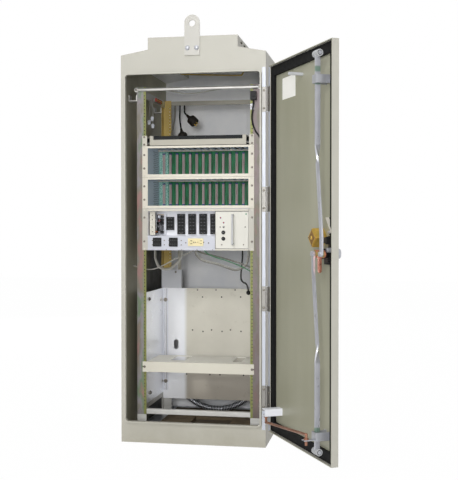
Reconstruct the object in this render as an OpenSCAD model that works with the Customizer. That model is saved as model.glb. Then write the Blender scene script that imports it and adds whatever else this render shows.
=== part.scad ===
// Roadside equipment cabinet with an open door, a 19 inch rack cage and the equipment in it.
// The frame has its origin at the middle of the base on the floor, +Z up and the door side at -Y.

/* [Housing] */
// Outside width of the housing
cabinet_w = 610; // [600:1:640]
// Outside depth of the housing
cabinet_d = 762; // [740:1:840]
// Height of the eaves above the floor
eave_z = 1615; // [1600:1:1680]
// Rise of the sloped roof from the eave to the foot of the raised section
slope_rise = 21; // [12:1:30]
// Height of the raised roof section above its foot
raise_h = 49; // [44:1:70]
// Width of the raised roof section
raise_w = 378; // [340:2:420]
// Thickness of the housing sheet
sheet_t = 3.2; // [2.5:0.1:4]
// Width of the anchor flange round the base
base_flange_w = 70; // [62:1:90]
// Thickness of the anchor flange
base_flange_t = 6; // [4:0.5:10]
// Distance of the anchor holes from the sides of the housing
anchor_side = 45; // [40:1:50]
// Distance of the anchor holes from the front and the back of the housing
anchor_end = 41; // [30:1:60]
// Diameter of the anchor holes
anchor_d = 19; // [14:1:24]

/* [Door opening] */
// Width of the face beside the rim of the opening
jamb_w = 17; // [15:0.5:19]
// Height of the sill above the floor
sill_z = 90; // [80:1:100]
// Height of the opening
opening_h = 1442; // [1420:1:1450]
// Radius of the corners of the opening
opening_r = 12; // [8:1:20]
// How far the rim of the opening stands forward
lip_out = 16; // [10:1:18]
// Thickness of the rim
lip_t = 6; // [4:0.5:7]

/* [Lifting plates] */
// Width of a lifting plate
lift_w = 64; // [50:1:80]
// Thickness of a lifting plate
lift_t = 6.4; // [5:0.2:10]
// Height of the lifting plate above the raised roof
lift_over = 87; // [80:1:110]
// Diameter of the lifting hole
lift_hole_d = 25.4; // [20:0.2:30]
// Spacing of the two bolts in a lifting plate
lift_bolt_gap = 38; // [30:1:42]

/* [Door] */
// Angle by which the door stands open
door_open = 119; // [60:1:150]
// Depth of the door pan
door_t = 27; // [25:0.5:34]
// Thickness of the door sheet
door_sheet = 3; // [2:0.1:4]
// Overlap of the door past the opening at top and bottom
door_over = 17; // [14:1:20]
// Gap between the shut door's edge and the front of the housing
door_gap = 4; // [3.5:0.1:5]
// Width of the door gasket
gasket_w = 38; // [32:1:46]
// Clearance between the gasket and the rim with the door shut
gasket_gap = 0.5; // [0.3:0.1:2]

/* [Hinges] */
// Number of hinges
hinge_count = 4; // [3:1:5]
// Height of one hinge
hinge_h = 100; // [80:5:120]
// Distance between hinge centres
hinge_pitch = 405; // [340:5:415]
// Radius of the hinge knuckles
knuckle_r = 5; // [4.5:0.1:5.4]
// Radius of the hinge pin
hinge_pin_r = 3; // [2.5:0.1:3.5]
// Thickness of a hinge leaf
leaf_t = 3; // [2:0.1:3.2]

/* [Latch] */
// Distance of the latch rods from the free edge of the door
rod_inset = 73; // [66:1:90]
// Width of a latch rod
rod_w = 19; // [16:1:22]
// Thickness of a latch rod
rod_t = 6.4; // [5:0.2:8]
// Distance of the rod's middle line from the plane of the door's edge
rod_v = 20.5; // [20:0.1:24]
// Distance from the cam's axis to each rod's bolt
throw_r = 34; // [28:1:36]
// Height of the latch's axis
latch_z = 808; // [790:1:830]
// Diameter of a roller
roller_d = 25; // [20:0.5:25]
// Width of one roller
roller_w = 16; // [10:0.5:18]
// Diameter of a roller's axle
axle_d = 8; // [6:0.5:9]
// Diameter of the handle's shaft
shaft_d = 16; // [12:0.5:20]
// Reach of the outside handle
handle_len = 140; // [110:2:160]

/* [Door stay] */
// Diameter of the stay rod
stay_d = 10; // [8:0.5:11]
// Distance of the stay's pivot from the hinge
stay_u = 95; // [80:1:120]
// Reach of the stay bracket from the plane of the door's edge
stay_reach = 50; // [46:1:60]
// Height of the stay bracket's underside
stay_block_z = 153; // [148:1:165]
// Height of the stay bracket
stay_block_h = 28; // [24:1:34]

/* [Rack] */
// Distance from the side of the housing to the edge of the rack panels
rack_side_gap = 63.7; // [62:0.1:66]
// Distance from the front of the housing to the face of the rack rails
rack_inset = 103; // [98:1:140]
// Distance between the faces of the front and rear rails
rack_depth = 453; // [420:1:480]
// Height of the lowest rack unit
rack_base = 134.25; // [130:0.25:140]
// Number of rack units
rack_units = 30; // [30:1:31]
// Thickness of the rails
rail_t = 3; // [2:0.1:4]
// Depth of the rails' side flanges
rail_flange = 35; // [25:1:38]
// Diameter of the rail holes
rail_hole_d = 5.2; // [4.6:0.1:6]
// Thickness of the sheet in the rack units
unit_t = 2; // [1.5:0.1:2.5]

/* [Rack units] */
// Depth of the card files
file_d = 220; // [180:1:260]
// Number of slots in a card file
slot_count = 14; // [10:1:14]
// Depth of the power assembly
power_d = 250; // [220:1:300]
// Width of the plug-in power module
module_w = 140; // [120:1:160]
// Gap between the drawer and the sides of its bay
drawer_side = 11; // [11:0.5:20]
// Depth of the drawer
drawer_d = 356; // [300:1:380]
// Height of the drawer's low front
drawer_front_h = 24; // [16:1:34]
// Depth of the lower shelf
shelf_d = 205; // [160:1:260]

/* [Fan] */
// Diameter of the fan's bore
fan_bore = 112; // [90:1:116]
// Depth of the fan's frame
fan_h = 38; // [25:1:40]
// Number of blades
blade_count = 5; // [4:1:7]

/* [Hidden] */
$fn = 48;

side_x = cabinet_w / 2;
front_y = -cabinet_d / 2;
back_y = cabinet_d / 2;
foot_z = eave_z + slope_rise;
roof_z = foot_z + raise_h;
raise_x = raise_w / 2;
opening_top = sill_z + opening_h;
opening_w = cabinet_w - 2 * (jamb_w + lip_t);
anchor_x = cabinet_w - 2 * anchor_side;
anchor_y = cabinet_d - 2 * anchor_end;
running = 0.05;
seat = 0.3;

// door edges, measured from the hinge axis along the door and inward from the plane of its edge
hinge_x = side_x + knuckle_r + 0.5;
hinge_y = front_y - door_gap;
door_near = 2;
door_far = hinge_x + side_x - 1;
door_z0 = sill_z - door_over;
door_z1 = opening_top + door_over;
door_h = door_z1 - door_z0;
panel_v = door_sheet - door_t;
return_v = -(knuckle_r + 1);
gasket_v = door_gap - lip_out - gasket_gap;
leaf_reach = hinge_x - side_x + jamb_w - 2.5;
knuckle_h = hinge_h / 5;
knuckle_gap = 0.1;
leaf_room = 0.5;

// latch, with its rods standing off the door panel
rod_u = door_far - rod_inset;
roller_up_z = opening_top - roller_d;
roller_low_z = sill_z + roller_d;
roller_gap = 0.5;
twist_h = 70;
twist_off = 315;
strap_straight = 60;
bolt_d = 18;
bolt_h = 6;
bearing_v = 8.5;
bearing_d = 36;
cam_v = bearing_v + 0.5;
cam_t = 5;
cam_w = 28;
cam_arm = 55;
plate_t = 6;
guide_h = 30;
guide_t = 3;
guide_w = 36;
guide_v = rod_v + rod_w / 2 + seat;
guide_up_z = opening_top - 129;
guide_low_z = sill_z + 64;
lock_w = 48;
lock_h = 46;
lock_off_u = 46;
lock_off_z = 56;
hub_d = 46;
hub_h = 22;
grip_t = 14;
grip_w = 22;

// door stay, parked along the door in an open hook
stay_wall = 3;
stay_v = stay_reach - 10;
stay_low_z = stay_block_z - 25;
hook_t = 3;
hook_top = guide_low_z + 1 + hook_t;
hook_u = rod_u - 3.5;
hook_v = guide_v + guide_t + 27;
hook_reach = 12;
hook_slot = stay_d + 3;
stay_high_z = hook_top + 18;
stay_leg = 38;

// rack grid
unit_h = 44.45;
hole_steps = [6.35, 22.225, 38.1];
ear_x = side_x - rack_side_gap;
hole_x = ear_x - 8.75;
rail_in = hole_x - 7.15;
rail_out = ear_x + 23.7;
body_x = rail_in - 5.9;
panel_slack = 0.8;
rack_y = front_y + rack_inset;
rear_y = rack_y + rack_depth;
rail_z0 = rack_base - 37;
rail_z1 = rack_base + rack_units * unit_h + 30;
tie_h = 20;
tie_t = 8;
brace_t = 6;
brace_h = 30;
brace_x = rail_out - rail_t;
power_z = rack_base + 15 * unit_h;
file_low_z = power_z + 4 * unit_h;
file_up_z = file_low_z + 3 * unit_h;
drawer_z = file_up_z + 3 * unit_h;
shelf_z = rack_base + 3 * unit_h + 12.7;
power_h = 4 * unit_h - panel_slack;
file_h = 3 * unit_h - panel_slack;
ear_slot_d = 7;

// drawer and card files
drawer_w = 2 * (body_x - drawer_side);
slot_pitch = 2 * (body_x - unit_t) / (slot_count + 0.5);
board_y = rack_y + file_d - 20;
board_t = 2;
guide_rib_w = 6;
guide_rib_h = 6;
guide_slot_w = 2;
socket_w = 9;
socket_d = 14;
socket_h = 78;

// power assembly
socket_plate_y = rack_y + 110;
outlet_panel_h = 61;
module_x = body_x - unit_t - module_w;
bay_x = unit_t - body_x;
bay_w = module_x - unit_t - bay_x;
relay_pitch = bay_w / 6;
relay_w = 0.68 * relay_pitch;
relay_h = 88;
relay_z = power_z + 68;
relay_d = 14;
outlet_x = [bay_x + 0.1416 * bay_w, bay_x + 0.384 * bay_w];
outlet_w = 38;
outlet_z = power_z + 35;
duplex_x = bay_x + 0.715 * bay_w;
duplex_w = 66;
duplex_h = 32;
bezel_t = 4;

// lower bay
panel_z0 = rail_z0 - 7;
panel_rise = 478;
panel_z1 = rack_base + panel_rise;
panel_back_y = rear_y - 40;
panel_t = 2;
conduit_r = 14;
conduit_bend = rail_in - 8.4;
conduit_low = 45;
cable_r = 6;
cable_y = rack_y + 60;
cable_top = power_z + panel_slack / 2;
// each place is a share of the units' half width, a step back and a drop below the power assembly
function route(places) = [for (p = places) [p[0] * body_x, cable_y + p[1], cable_top - p[2]]];
left_route = route([
    [-0.383, 0, 0], [-0.392, 0, 22], [-0.456, 0, 52], [-0.638, 4, 82], [-0.838, 10, 76],
    [-0.929, 16, 40], [-0.938, 18, 18], [-0.938, 18, 0]
]);
right_route = route([
    [-0.091, 0, 0], [-0.082, 0, 20], [0.046, 0, 44], [0.364, 4, 62], [0.683, 8, 84],
    [0.884, 12, 64], [0.938, 14, 22], [0.938, 14, 0]
]);

// fan in the raised roof
fan_plate_t = 3;
fan_plate_z = foot_z + 4;
fan_wall = 4;
fan_y = front_y + 190;
fan_plate_d = 260;
motor_d = 44;
motor_h = 10;
spindle_d = 6;
strut_w = 5;
strut_h = 3;
blade_tilt = 35;
rotor_gap = 1;
rotor_h = 22;
vent_count = 8;
vent_l = 54;
vent_h = 10;

module on_door() {
    translate([hinge_x, hinge_y, 0]) rotate([0, 0, door_open]) children();
}

// raises a flat shape drawn in x and z to a slab from y = from_y to y = from_y + thick
module slab(from_y, thick) {
    translate([0, from_y + thick, 0]) rotate([90, 0, 0]) linear_extrude(thick) children();
}

// round bar along y through the point x, z
module along_y(x, z, from_y, to_y, d) {
    translate([x, from_y, z]) rotate([-90, 0, 0]) cylinder(d = d, h = to_y - from_y);
}

// round bar along x, centred on a point
module along_x(p, d, h) {
    translate(p) rotate([0, 90, 0]) cylinder(d = d, h = h, center = true);
}

module round_rect(w, h, r) {
    translate([r - w / 2, -h / 2]) square([w - 2 * r, h]);
    translate([-w / 2, r - h / 2]) square([w, h - 2 * r]);
    for (sx = [-1, 1], sz = [-1, 1]) translate([sx * (w / 2 - r), sz * (h / 2 - r)]) circle(r);
}

module gable() {
    polygon([
        [-side_x, 0], [side_x, 0], [side_x, eave_z], [raise_x, foot_z], [raise_x, roof_z],
        [-raise_x, roof_z], [-raise_x, foot_z], [-side_x, eave_z]
    ]);
}

module opening(grow) {
    translate([0, sill_z + opening_h / 2])
        round_rect(opening_w + 2 * grow, opening_h + 2 * grow, opening_r + grow);
}

module side_wall(side) {
    wall_x = side > 0 ? side_x - sheet_t : -side_x;
    translate([wall_x, front_y + sheet_t, 0]) cube([sheet_t, cabinet_d - 2 * sheet_t, eave_z - sheet_t]);
}

module side_wall_left() {
    color([0.84, 0.83, 0.79]) side_wall(-1);
}

module side_wall_right() {
    color([0.84, 0.83, 0.79]) side_wall(1);
}

module back_wall() {
    color([0.82, 0.81, 0.77]) slab(back_y - sheet_t, sheet_t) gable();
}

module front_frame() {
    color([0.85, 0.84, 0.80]) {
        slab(front_y, sheet_t) difference() {
            gable();
            opening(0);
        }
        slab(front_y - lip_out, lip_out) difference() {
            opening(lip_t);
            opening(0);
        }
    }
}

module roof() {
    inner_x = raise_x - sheet_t;
    vent_step = (cabinet_d - 120) / vent_count;
    color([0.83, 0.82, 0.78]) difference() {
        slab(front_y + sheet_t, cabinet_d - 2 * sheet_t) polygon([
            [-side_x, eave_z], [-raise_x, foot_z], [-raise_x, roof_z], [raise_x, roof_z],
            [raise_x, foot_z], [side_x, eave_z], [side_x, eave_z - sheet_t],
            [inner_x, foot_z - sheet_t], [inner_x, roof_z - sheet_t],
            [-inner_x, roof_z - sheet_t], [-inner_x, foot_z - sheet_t], [-side_x, eave_z - sheet_t]
        ]);
        for (side = [-1, 1], i = [0:vent_count - 1])
            translate([side * raise_x, front_y + 60 + (i + 0.5) * vent_step, roof_z - raise_h / 3])
                cube([4 * sheet_t, vent_l, vent_h], center = true);
    }
}

module base_flange() {
    ring_w = cabinet_w - 2 * sheet_t;
    ring_d = cabinet_d - 2 * sheet_t;
    color([0.72, 0.72, 0.70]) difference() {
        translate([-ring_w / 2, -ring_d / 2, 0]) cube([ring_w, ring_d, base_flange_t]);
        translate([base_flange_w - ring_w / 2, base_flange_w - ring_d / 2, -1])
            cube([ring_w - 2 * base_flange_w, ring_d - 2 * base_flange_w, base_flange_t + 2]);
        for (sx = [-1, 1], sy = [-1, 1])
            translate([sx * anchor_x / 2, sy * anchor_y / 2, -1])
                cylinder(d = anchor_d, h = base_flange_t + 2);
    }
}

lift_top = roof_z + lift_over;
lift_low = foot_z - 30;
lift_bolt_z = foot_z;
lift_bolt_d = 12;

module lifting_plate(from_y) {
    color([0.62, 0.62, 0.60]) slab(from_y, lift_t) difference() {
        union() {
            translate([-lift_w / 2, lift_low]) square([lift_w, lift_top - lift_w / 2 - lift_low]);
            translate([0, lift_top - lift_w / 2]) circle(d = lift_w);
        }
        translate([0, lift_top - lift_w / 2 - 3]) circle(d = lift_hole_d);
        for (side = [-1, 1]) translate([side * lift_bolt_gap / 2, lift_bolt_z]) circle(d = lift_bolt_d + 1);
    }
}

module lifting_plate_front() {
    lifting_plate(front_y - lift_t);
}

module lifting_plate_rear() {
    lifting_plate(back_y);
}

// a round-headed bolt in a plate whose inner face is at y = 0
module lifting_bolt(x) {
    head_r = 11;
    sink = 4;
    difference() {
        translate([x, sink - lift_t, lift_bolt_z]) sphere(head_r, $fn = 24);
        translate([x - 1.5 * head_r, -lift_t, lift_bolt_z - 1.5 * head_r]) cube(3 * head_r);
    }
    along_y(x, lift_bolt_z, -lift_t, 0, lift_bolt_d);
}

module lifting_bolts() {
    color([0.55, 0.55, 0.54]) for (side = [-1, 1], rear = [0, 1])
        translate([0, rear ? back_y : front_y, 0]) mirror([0, rear, 0])
            lifting_bolt(side * lift_bolt_gap / 2);
}

function hinge_base(i) = (door_z0 + door_z1 - hinge_h) / 2 + (i - (hinge_count - 1) / 2) * hinge_pitch;

module knuckles(z, places, r, gap) {
    for (k = places) translate([0, 0, z + k * knuckle_h + gap]) cylinder(r = r, h = knuckle_h - 2 * gap);
}

// one leaf round the axis at the origin, its plate reaching towards -x
module leaf(z, plate_y, own, other) {
    difference() {
        union() {
            translate([-leaf_reach, plate_y, z]) cube([leaf_reach, leaf_t, hinge_h]);
            knuckles(z, own, knuckle_r, 0);
        }
        knuckles(z, other, knuckle_r + leaf_room, -knuckle_gap);
        translate([0, 0, z - 1]) cylinder(r = hinge_pin_r + running, h = hinge_h + 2);
    }
}

module hinge_leaves_cabinet() {
    color([0.86, 0.87, 0.90]) translate([hinge_x, hinge_y, 0])
        for (i = [0:hinge_count - 1]) leaf(hinge_base(i), door_gap - leaf_t, [0, 2, 4], [1, 3]);
}

module hinge_leaves_door() {
    color([0.80, 0.80, 0.80]) on_door()
        for (i = [0:hinge_count - 1]) leaf(hinge_base(i), return_v, [1, 3], [0, 2, 4]);
}

module hinge_pins() {
    color([0.66, 0.66, 0.66]) translate([hinge_x, hinge_y, 0]) for (i = [0:hinge_count - 1]) {
        translate([0, 0, hinge_base(i) - 2]) cylinder(r = knuckle_r - 0.8, h = 2);
        translate([0, 0, hinge_base(i)]) cylinder(r = hinge_pin_r, h = hinge_h);
        translate([0, 0, hinge_base(i) + hinge_h]) cylinder(r = knuckle_r - 0.8, h = 2);
    }
}

module rail_profile() {
    polygon([
        [rail_in, 0], [rail_out, 0], [rail_out, rail_flange], [rail_out - rail_t, rail_flange],
        [rail_out - rail_t, rail_t], [rail_in, rail_t]
    ]);
}

// an angle upright with its face at y = 0, on the +x side
module rail() {
    difference() {
        translate([0, 0, rail_z0]) linear_extrude(rail_z1 - rail_z0) rail_profile();
        for (k = [0:rack_units - 1], step = hole_steps)
            along_y(hole_x, rack_base + k * unit_h + step, -1, rail_t + 1, rail_hole_d, $fn = 16);
    }
}

module rail_front_left() {
    color([0.62, 0.60, 0.55]) translate([0, rack_y, 0]) mirror([1, 0, 0]) rail();
}

module rail_front_right() {
    color([0.62, 0.60, 0.55]) translate([0, rack_y, 0]) rail();
}

module rails_rear() {
    color([0.72, 0.64, 0.36]) translate([0, rear_y, 0]) mirror([0, 1, 0]) {
        rail();
        mirror([1, 0, 0]) rail();
    }
}

module tie_top_front() {
    z = rail_z1 - 3 - tie_h / 2;
    color([0.84, 0.84, 0.83]) slab(rack_y - tie_t, tie_t) {
        translate([-rail_out, z - tie_h / 2]) square([2 * rail_out, tie_h]);
        for (side = [-1, 1]) translate([side * rail_out, z]) circle(d = tie_h);
    }
}

module tie_bottom_front() {
    z = rail_z0 + 2;
    half = brace_x - brace_t;
    groove = 2;
    color([0.86, 0.85, 0.81]) difference() {
        translate([-half, rack_y + rail_t, z]) cube([2 * half, tie_h, tie_h]);
        for (k = [1, 2]) translate([-half - 1, rack_y + rail_t - 1, z + k * tie_h / 3 - groove / 2])
            cube([2 * half + 2, 1 + groove, groove]);
    }
}

module ties_rear() {
    color([0.80, 0.80, 0.78]) for (z = [rail_z0 + 2, rail_z1 - 3 - tie_h])
        translate([-rail_out, rear_y, z]) cube([2 * rail_out, tie_t, tie_h]);
}

module braces() {
    for (z = [rail_z0 + 2, rail_z1 - 3 - brace_h])
        translate([brace_x - brace_t, rack_y + rail_t, z]) cube([brace_t, rack_depth - 2 * rail_t, brace_h]);
}

module braces_left() {
    color([0.70, 0.70, 0.66]) mirror([1, 0, 0]) braces();
}

module braces_right() {
    color([0.70, 0.70, 0.66]) braces();
}

module cage_mounts() {
    wall_in = side_x - sheet_t;
    bracket_z = rail_z1 - 60;
    bracket_t = 4;
    bracket_h = 26;
    color([0.78, 0.78, 0.76]) for (sx = [0, 1], rear = [0, 1])
        mirror([sx, 0, 0]) translate([0, rear ? rear_y : rack_y, 0]) mirror([0, rear, 0]) {
            translate([0, 0, base_flange_t]) linear_extrude(rail_z0 - base_flange_t) rail_profile();
            translate([rail_out, 0, bracket_z]) difference() {
                cube([wall_in - rail_out, rail_flange, bracket_h]);
                translate([bracket_t, -1, bracket_t])
                    cube([wall_in - rail_out - 2 * bracket_t, rail_flange + 2, bracket_h]);
            }
        }
}

// the front ears of a rack unit that starts at height z, with its fixing holes
module ears(z, h, inner_x) {
    for (sx = [0, 1]) mirror([sx, 0, 0]) difference() {
        translate([inner_x, rack_y - unit_t, z]) cube([ear_x - inner_x, unit_t, h]);
        for (hz = [hole_steps[0], h + panel_slack - hole_steps[0]])
            along_y(hole_x, z - panel_slack / 2 + hz, rack_y - unit_t - 1, rack_y + 1, ear_slot_d, $fn = 24);
    }
}

channel_x = drawer_w / 2 + 3;
channel_h = 28;
channel_z = drawer_z + 8;

module drawer_guides() {
    color([0.80, 0.80, 0.78]) {
        ears(drawer_z + panel_slack / 2, unit_h - panel_slack, channel_x + 9);
        for (sx = [0, 1]) mirror([sx, 0, 0]) difference() {
            translate([channel_x, rack_y, channel_z]) cube([11 + unit_t, drawer_d, channel_h]);
            translate([channel_x - 1, rack_y - 1, channel_z + unit_t])
                cube([12, drawer_d + 2, channel_h - 2 * unit_t]);
        }
    }
}

module drawer() {
    z0 = drawer_z + 2;
    h = unit_h - 4;
    post = 16;
    half = drawer_w / 2;
    front = rack_y - unit_t;
    color([0.87, 0.85, 0.80]) {
        difference() {
            translate([-half, front, z0]) cube([drawer_w, drawer_d, h]);
            translate([unit_t - half, front + unit_t, z0 + unit_t])
                cube([drawer_w - 2 * unit_t, drawer_d - 2 * unit_t, h]);
            translate([post - half, front - 1, z0 + drawer_front_h])
                cube([drawer_w - 2 * post, unit_t + 2, h]);
        }
        for (sx = [0, 1]) mirror([sx, 0, 0])
            translate([half, rack_y + unit_t, channel_z + unit_t + seat])
                cube([12, drawer_d - 3 * unit_t, 6]);
    }
}

function slot_x(i) = (i - (slot_count - 1) / 2) * slot_pitch;

module guide_rib(x, z, up) {
    foot = up ? z : z - guide_rib_h;
    groove = up ? z + 2 : z - guide_rib_h - 1;
    difference() {
        translate([x - guide_rib_w / 2, foot]) square([guide_rib_w, guide_rib_h]);
        translate([x - guide_slot_w / 2, groove]) square([guide_slot_w, guide_rib_h - 1]);
    }
}

module card_file(unit_z) {
    z0 = unit_z + panel_slack / 2;
    z1 = z0 + file_h;
    low_lip = 12;
    high_lip = 9;
    depth = file_d + unit_t;
    color([0.87, 0.86, 0.81]) {
        ears(z0, file_h, body_x - unit_t);
        for (sx = [0, 1]) mirror([sx, 0, 0])
            translate([body_x - unit_t, rack_y, z0]) cube([unit_t, file_d, file_h]);
        for (z = [z0, z1 - unit_t])
            translate([-body_x, rack_y - unit_t, z]) cube([2 * body_x, depth, unit_t]);
        translate([-body_x, rack_y - unit_t, z0]) cube([2 * body_x, unit_t, low_lip]);
        translate([-body_x, rack_y - unit_t, z1 - high_lip]) cube([2 * body_x, unit_t, high_lip]);
        slab(rack_y + 4, board_y - socket_d - 4 - rack_y) for (i = [0:slot_count - 1]) {
            guide_rib(slot_x(i), z0 + unit_t, true);
            guide_rib(slot_x(i), z1 - unit_t, false);
        }
    }
}

module backplane(unit_z) {
    z0 = unit_z + panel_slack / 2 + unit_t;
    half = body_x - unit_t;
    color([0.10, 0.42, 0.27]) translate([-half, board_y, z0]) cube([2 * half, board_t, file_h - 2 * unit_t]);
}

module card_sockets(unit_z) {
    z0 = unit_z + (3 * unit_h - socket_h) / 2;
    edge = 4;
    color([0.68, 0.62, 0.62]) for (i = [0:slot_count - 1]) difference() {
        translate([slot_x(i) - socket_w / 2, board_y - socket_d, z0]) cube([socket_w, socket_d, socket_h]);
        translate([slot_x(i) - guide_slot_w / 2, board_y - socket_d - 1, z0 + edge])
            cube([guide_slot_w, socket_d - 3, socket_h - 2 * edge]);
    }
}

module card_file_upper() {
    card_file(file_up_z);
}

module card_file_lower() {
    card_file(file_low_z);
}

module backplane_upper() {
    backplane(file_up_z);
}

module backplane_lower() {
    backplane(file_low_z);
}

module card_sockets_upper() {
    card_sockets(file_up_z);
}

module card_sockets_lower() {
    card_sockets(file_low_z);
}

module power_chassis() {
    z0 = power_z + panel_slack / 2;
    in_x = -bay_x;
    color([0.87, 0.86, 0.82]) {
        ears(z0, power_h, in_x);
        for (sx = [0, 1]) mirror([sx, 0, 0])
            translate([in_x, rack_y, z0]) cube([unit_t, power_d, power_h]);
        for (z = [z0, z0 + power_h - unit_t])
            translate([-body_x, rack_y - unit_t, z]) cube([2 * body_x, power_d + unit_t, unit_t]);
        translate([-in_x, socket_plate_y, z0]) cube([2 * in_x, unit_t, power_h]);
        translate([module_x - unit_t, rack_y - unit_t, z0])
            cube([unit_t, socket_plate_y - rack_y + unit_t, power_h]);
        translate([-in_x, rack_y - unit_t, z0 + outlet_panel_h - unit_t])
            cube([bay_w, socket_plate_y - rack_y + unit_t, unit_t]);
        difference() {
            translate([-in_x, rack_y - unit_t, z0]) cube([bay_w, unit_t, outlet_panel_h]);
            for (x = outlet_x) translate([x, rack_y, outlet_z])
                cube([outlet_w - 6, 3 * unit_t, outlet_w - 6], center = true);
            translate([duplex_x, rack_y, outlet_z])
                cube([duplex_w - 6, 3 * unit_t, duplex_h - 6], center = true);
        }
    }
}

// a socket block on the socket plate, with two rows of contact slots
module relay_socket(x, z, h) {
    rows = floor(h / 14);
    difference() {
        translate([x - relay_w / 2, socket_plate_y - relay_d, z]) cube([relay_w, relay_d, h]);
        for (i = [0:rows - 1], side = [-1, 1])
            translate([x + side * relay_w / 5, socket_plate_y - relay_d, z + (i + 0.5) * h / rows])
                cube([relay_w / 4, 10, 3], center = true);
    }
}

module relay_sockets() {
    color([0.08, 0.08, 0.09]) {
        for (i = [0:3]) relay_socket(bay_x + (2.5 + i) * relay_pitch, relay_z, relay_h);
        relay_socket(bay_x + 1.5 * relay_pitch, relay_z + 18, relay_h - 31);
    }
}

module power_outlets() {
    color([0.10, 0.10, 0.10]) for (x = outlet_x) difference() {
        union() {
            translate([x - outlet_w / 2, rack_y - unit_t - bezel_t, outlet_z - outlet_w / 2])
                cube([outlet_w, bezel_t, outlet_w]);
            translate([x, rack_y - unit_t + 12, outlet_z])
                cube([outlet_w - 8, 24, outlet_w - 8], center = true);
        }
        along_y(x, outlet_z, rack_y - unit_t - bezel_t - 1, rack_y + 6, outlet_w - 14);
    }
}

module duplex_outlet() {
    face_y = rack_y - unit_t - bezel_t;
    color([0.86, 0.82, 0.70]) difference() {
        union() {
            translate([duplex_x - duplex_w / 2, face_y, outlet_z - duplex_h / 2])
                cube([duplex_w, bezel_t, duplex_h]);
            translate([duplex_x, rack_y - unit_t + 12, outlet_z])
                cube([duplex_w - 8, 24, duplex_h - 8], center = true);
        }
        for (side = [-1, 1], blade = [-1, 1])
            translate([duplex_x + side * 17 + 3, face_y, outlet_z + blade * 6])
                cube([7, 16, 2.4], center = true);
        for (side = [-1, 1]) along_y(duplex_x + side * 17 - 7, outlet_z, face_y - 1, face_y + 8, 5);
    }
}

module power_relay() {
    z0 = power_z + outlet_panel_h + 8;
    x = bay_x + 0.24 * relay_pitch;
    base_w = 0.9 * relay_pitch;
    rim = 4;
    color([0.16, 0.16, 0.15]) {
        translate([x, socket_plate_y - 10, z0]) cube([base_w, 10, 84]);
        translate([x + rim, socket_plate_y - 70, z0 + 6]) cube([base_w - 2 * rim, 60, 72]);
    }
}

module power_module() {
    z0 = power_z + panel_slack / 2 + unit_t + seat;
    h = power_h - 2 * unit_t - 2 * seat;
    face_y = rack_y - 6;
    bail_x = module_x + 0.55 * module_w;
    bail_out = 28;
    bail_d = 8;
    bail_z = [z0 + 26, z0 + h - 26];
    color([0.88, 0.86, 0.80]) {
        translate([module_x + seat, face_y, z0]) cube([module_w - 2 * seat, socket_plate_y - face_y, h]);
        for (z = bail_z) {
            along_y(bail_x, z, face_y - bail_out, face_y, bail_d);
            translate([bail_x, face_y - bail_out, z]) sphere(d = bail_d + 1);
        }
        translate([bail_x, face_y - bail_out, bail_z[0]]) cylinder(d = bail_d, h = bail_z[1] - bail_z[0]);
    }
}

module lower_shelf() {
    h = unit_h - panel_slack;
    top = shelf_z + h;
    half = rail_in - 3;
    cut_y = rack_y + 60;
    cut_d = shelf_d - 75;
    color([0.87, 0.85, 0.80]) {
        difference() {
            translate([-ear_x, rack_y - unit_t, shelf_z]) cube([2 * ear_x, unit_t, h]);
            for (side = [-1, 1]) translate([side * ear_x, rack_y, shelf_z + h / 2])
                cube([2 * (ear_x - hole_x) + 4, 3 * unit_t, ear_slot_d], center = true);
        }
        difference() {
            translate([-half, rack_y - unit_t, top - unit_t]) cube([2 * half, shelf_d + unit_t, unit_t]);
            translate([-0.607 * half, cut_y, top - 2 * unit_t]) cube([0.306 * half, cut_d, 3 * unit_t]);
            translate([0.62 * half, cut_y, top - 2 * unit_t]) cube([0.18 * half, cut_d, 3 * unit_t]);
        }
        for (sx = [0, 1]) mirror([sx, 0, 0]) translate([half - unit_t, rack_y, 0]) rotate([90, 0, 90])
            linear_extrude(unit_t) polygon([[0, shelf_z], [0, top], [shelf_d, top], [shelf_d, top - 12]]);
    }
}

module lower_panels() {
    half = brace_x - brace_t;
    side_z0 = rail_z0 + 2 + brace_h - 8;
    slot_w = 22;
    slot_h = 24;
    slot_at = [63 - half, shelf_z + 54];
    color([0.87, 0.88, 0.90]) {
        translate([-half, rack_y + rail_flange + 5, side_z0])
            cube([panel_t, panel_back_y - rack_y - rail_flange - 5, panel_z1 - side_z0]);
        slab(panel_back_y, panel_t) difference() {
            translate([-half, panel_z0]) square([2 * half, panel_z1 - panel_z0]);
            translate([slot_at[0] - slot_w / 2, slot_at[1]]) square([slot_w, slot_h]);
            for (z = [slot_at[1], slot_at[1] + slot_h]) translate([slot_at[0], z]) circle(d = slot_w);
        }
    }
}

module conduit() {
    sweep = 150;
    color([0.12, 0.12, 0.12])
        translate([0, panel_back_y + panel_t + seat + conduit_r, conduit_low + conduit_bend])
        rotate([90, 0, 0]) rotate([0, 0, 270 - sweep / 2])
        rotate_extrude(angle = sweep) translate([conduit_bend, 0]) circle(conduit_r);
}

function unit_of(v) = v / norm(v);
function spline(a, b, c, d, t) = 0.5 * (2 * b + (c - a) * t + (2 * a - 5 * b + 4 * c - d) * t * t
    + (3 * b - a - 3 * c + d) * t * t * t);
function route_point(p, i) = p[min(max(i, 0), len(p) - 1)];
function smooth(p, n) = [for (i = [0:len(p) - 2], k = [0:n - 1])
    spline(route_point(p, i - 1), p[i], p[i + 1], route_point(p, i + 2), k / n), p[len(p) - 1]];
function heading(p, i) = i == 0 || i == len(p) - 1
    ? [0, 0, i == 0 ? -1 : 1]
    : unit_of(p[i + 1] - p[i - 1]);
function ring_side(t) = unit_of(cross(t, [0, 1, 0]));

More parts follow.
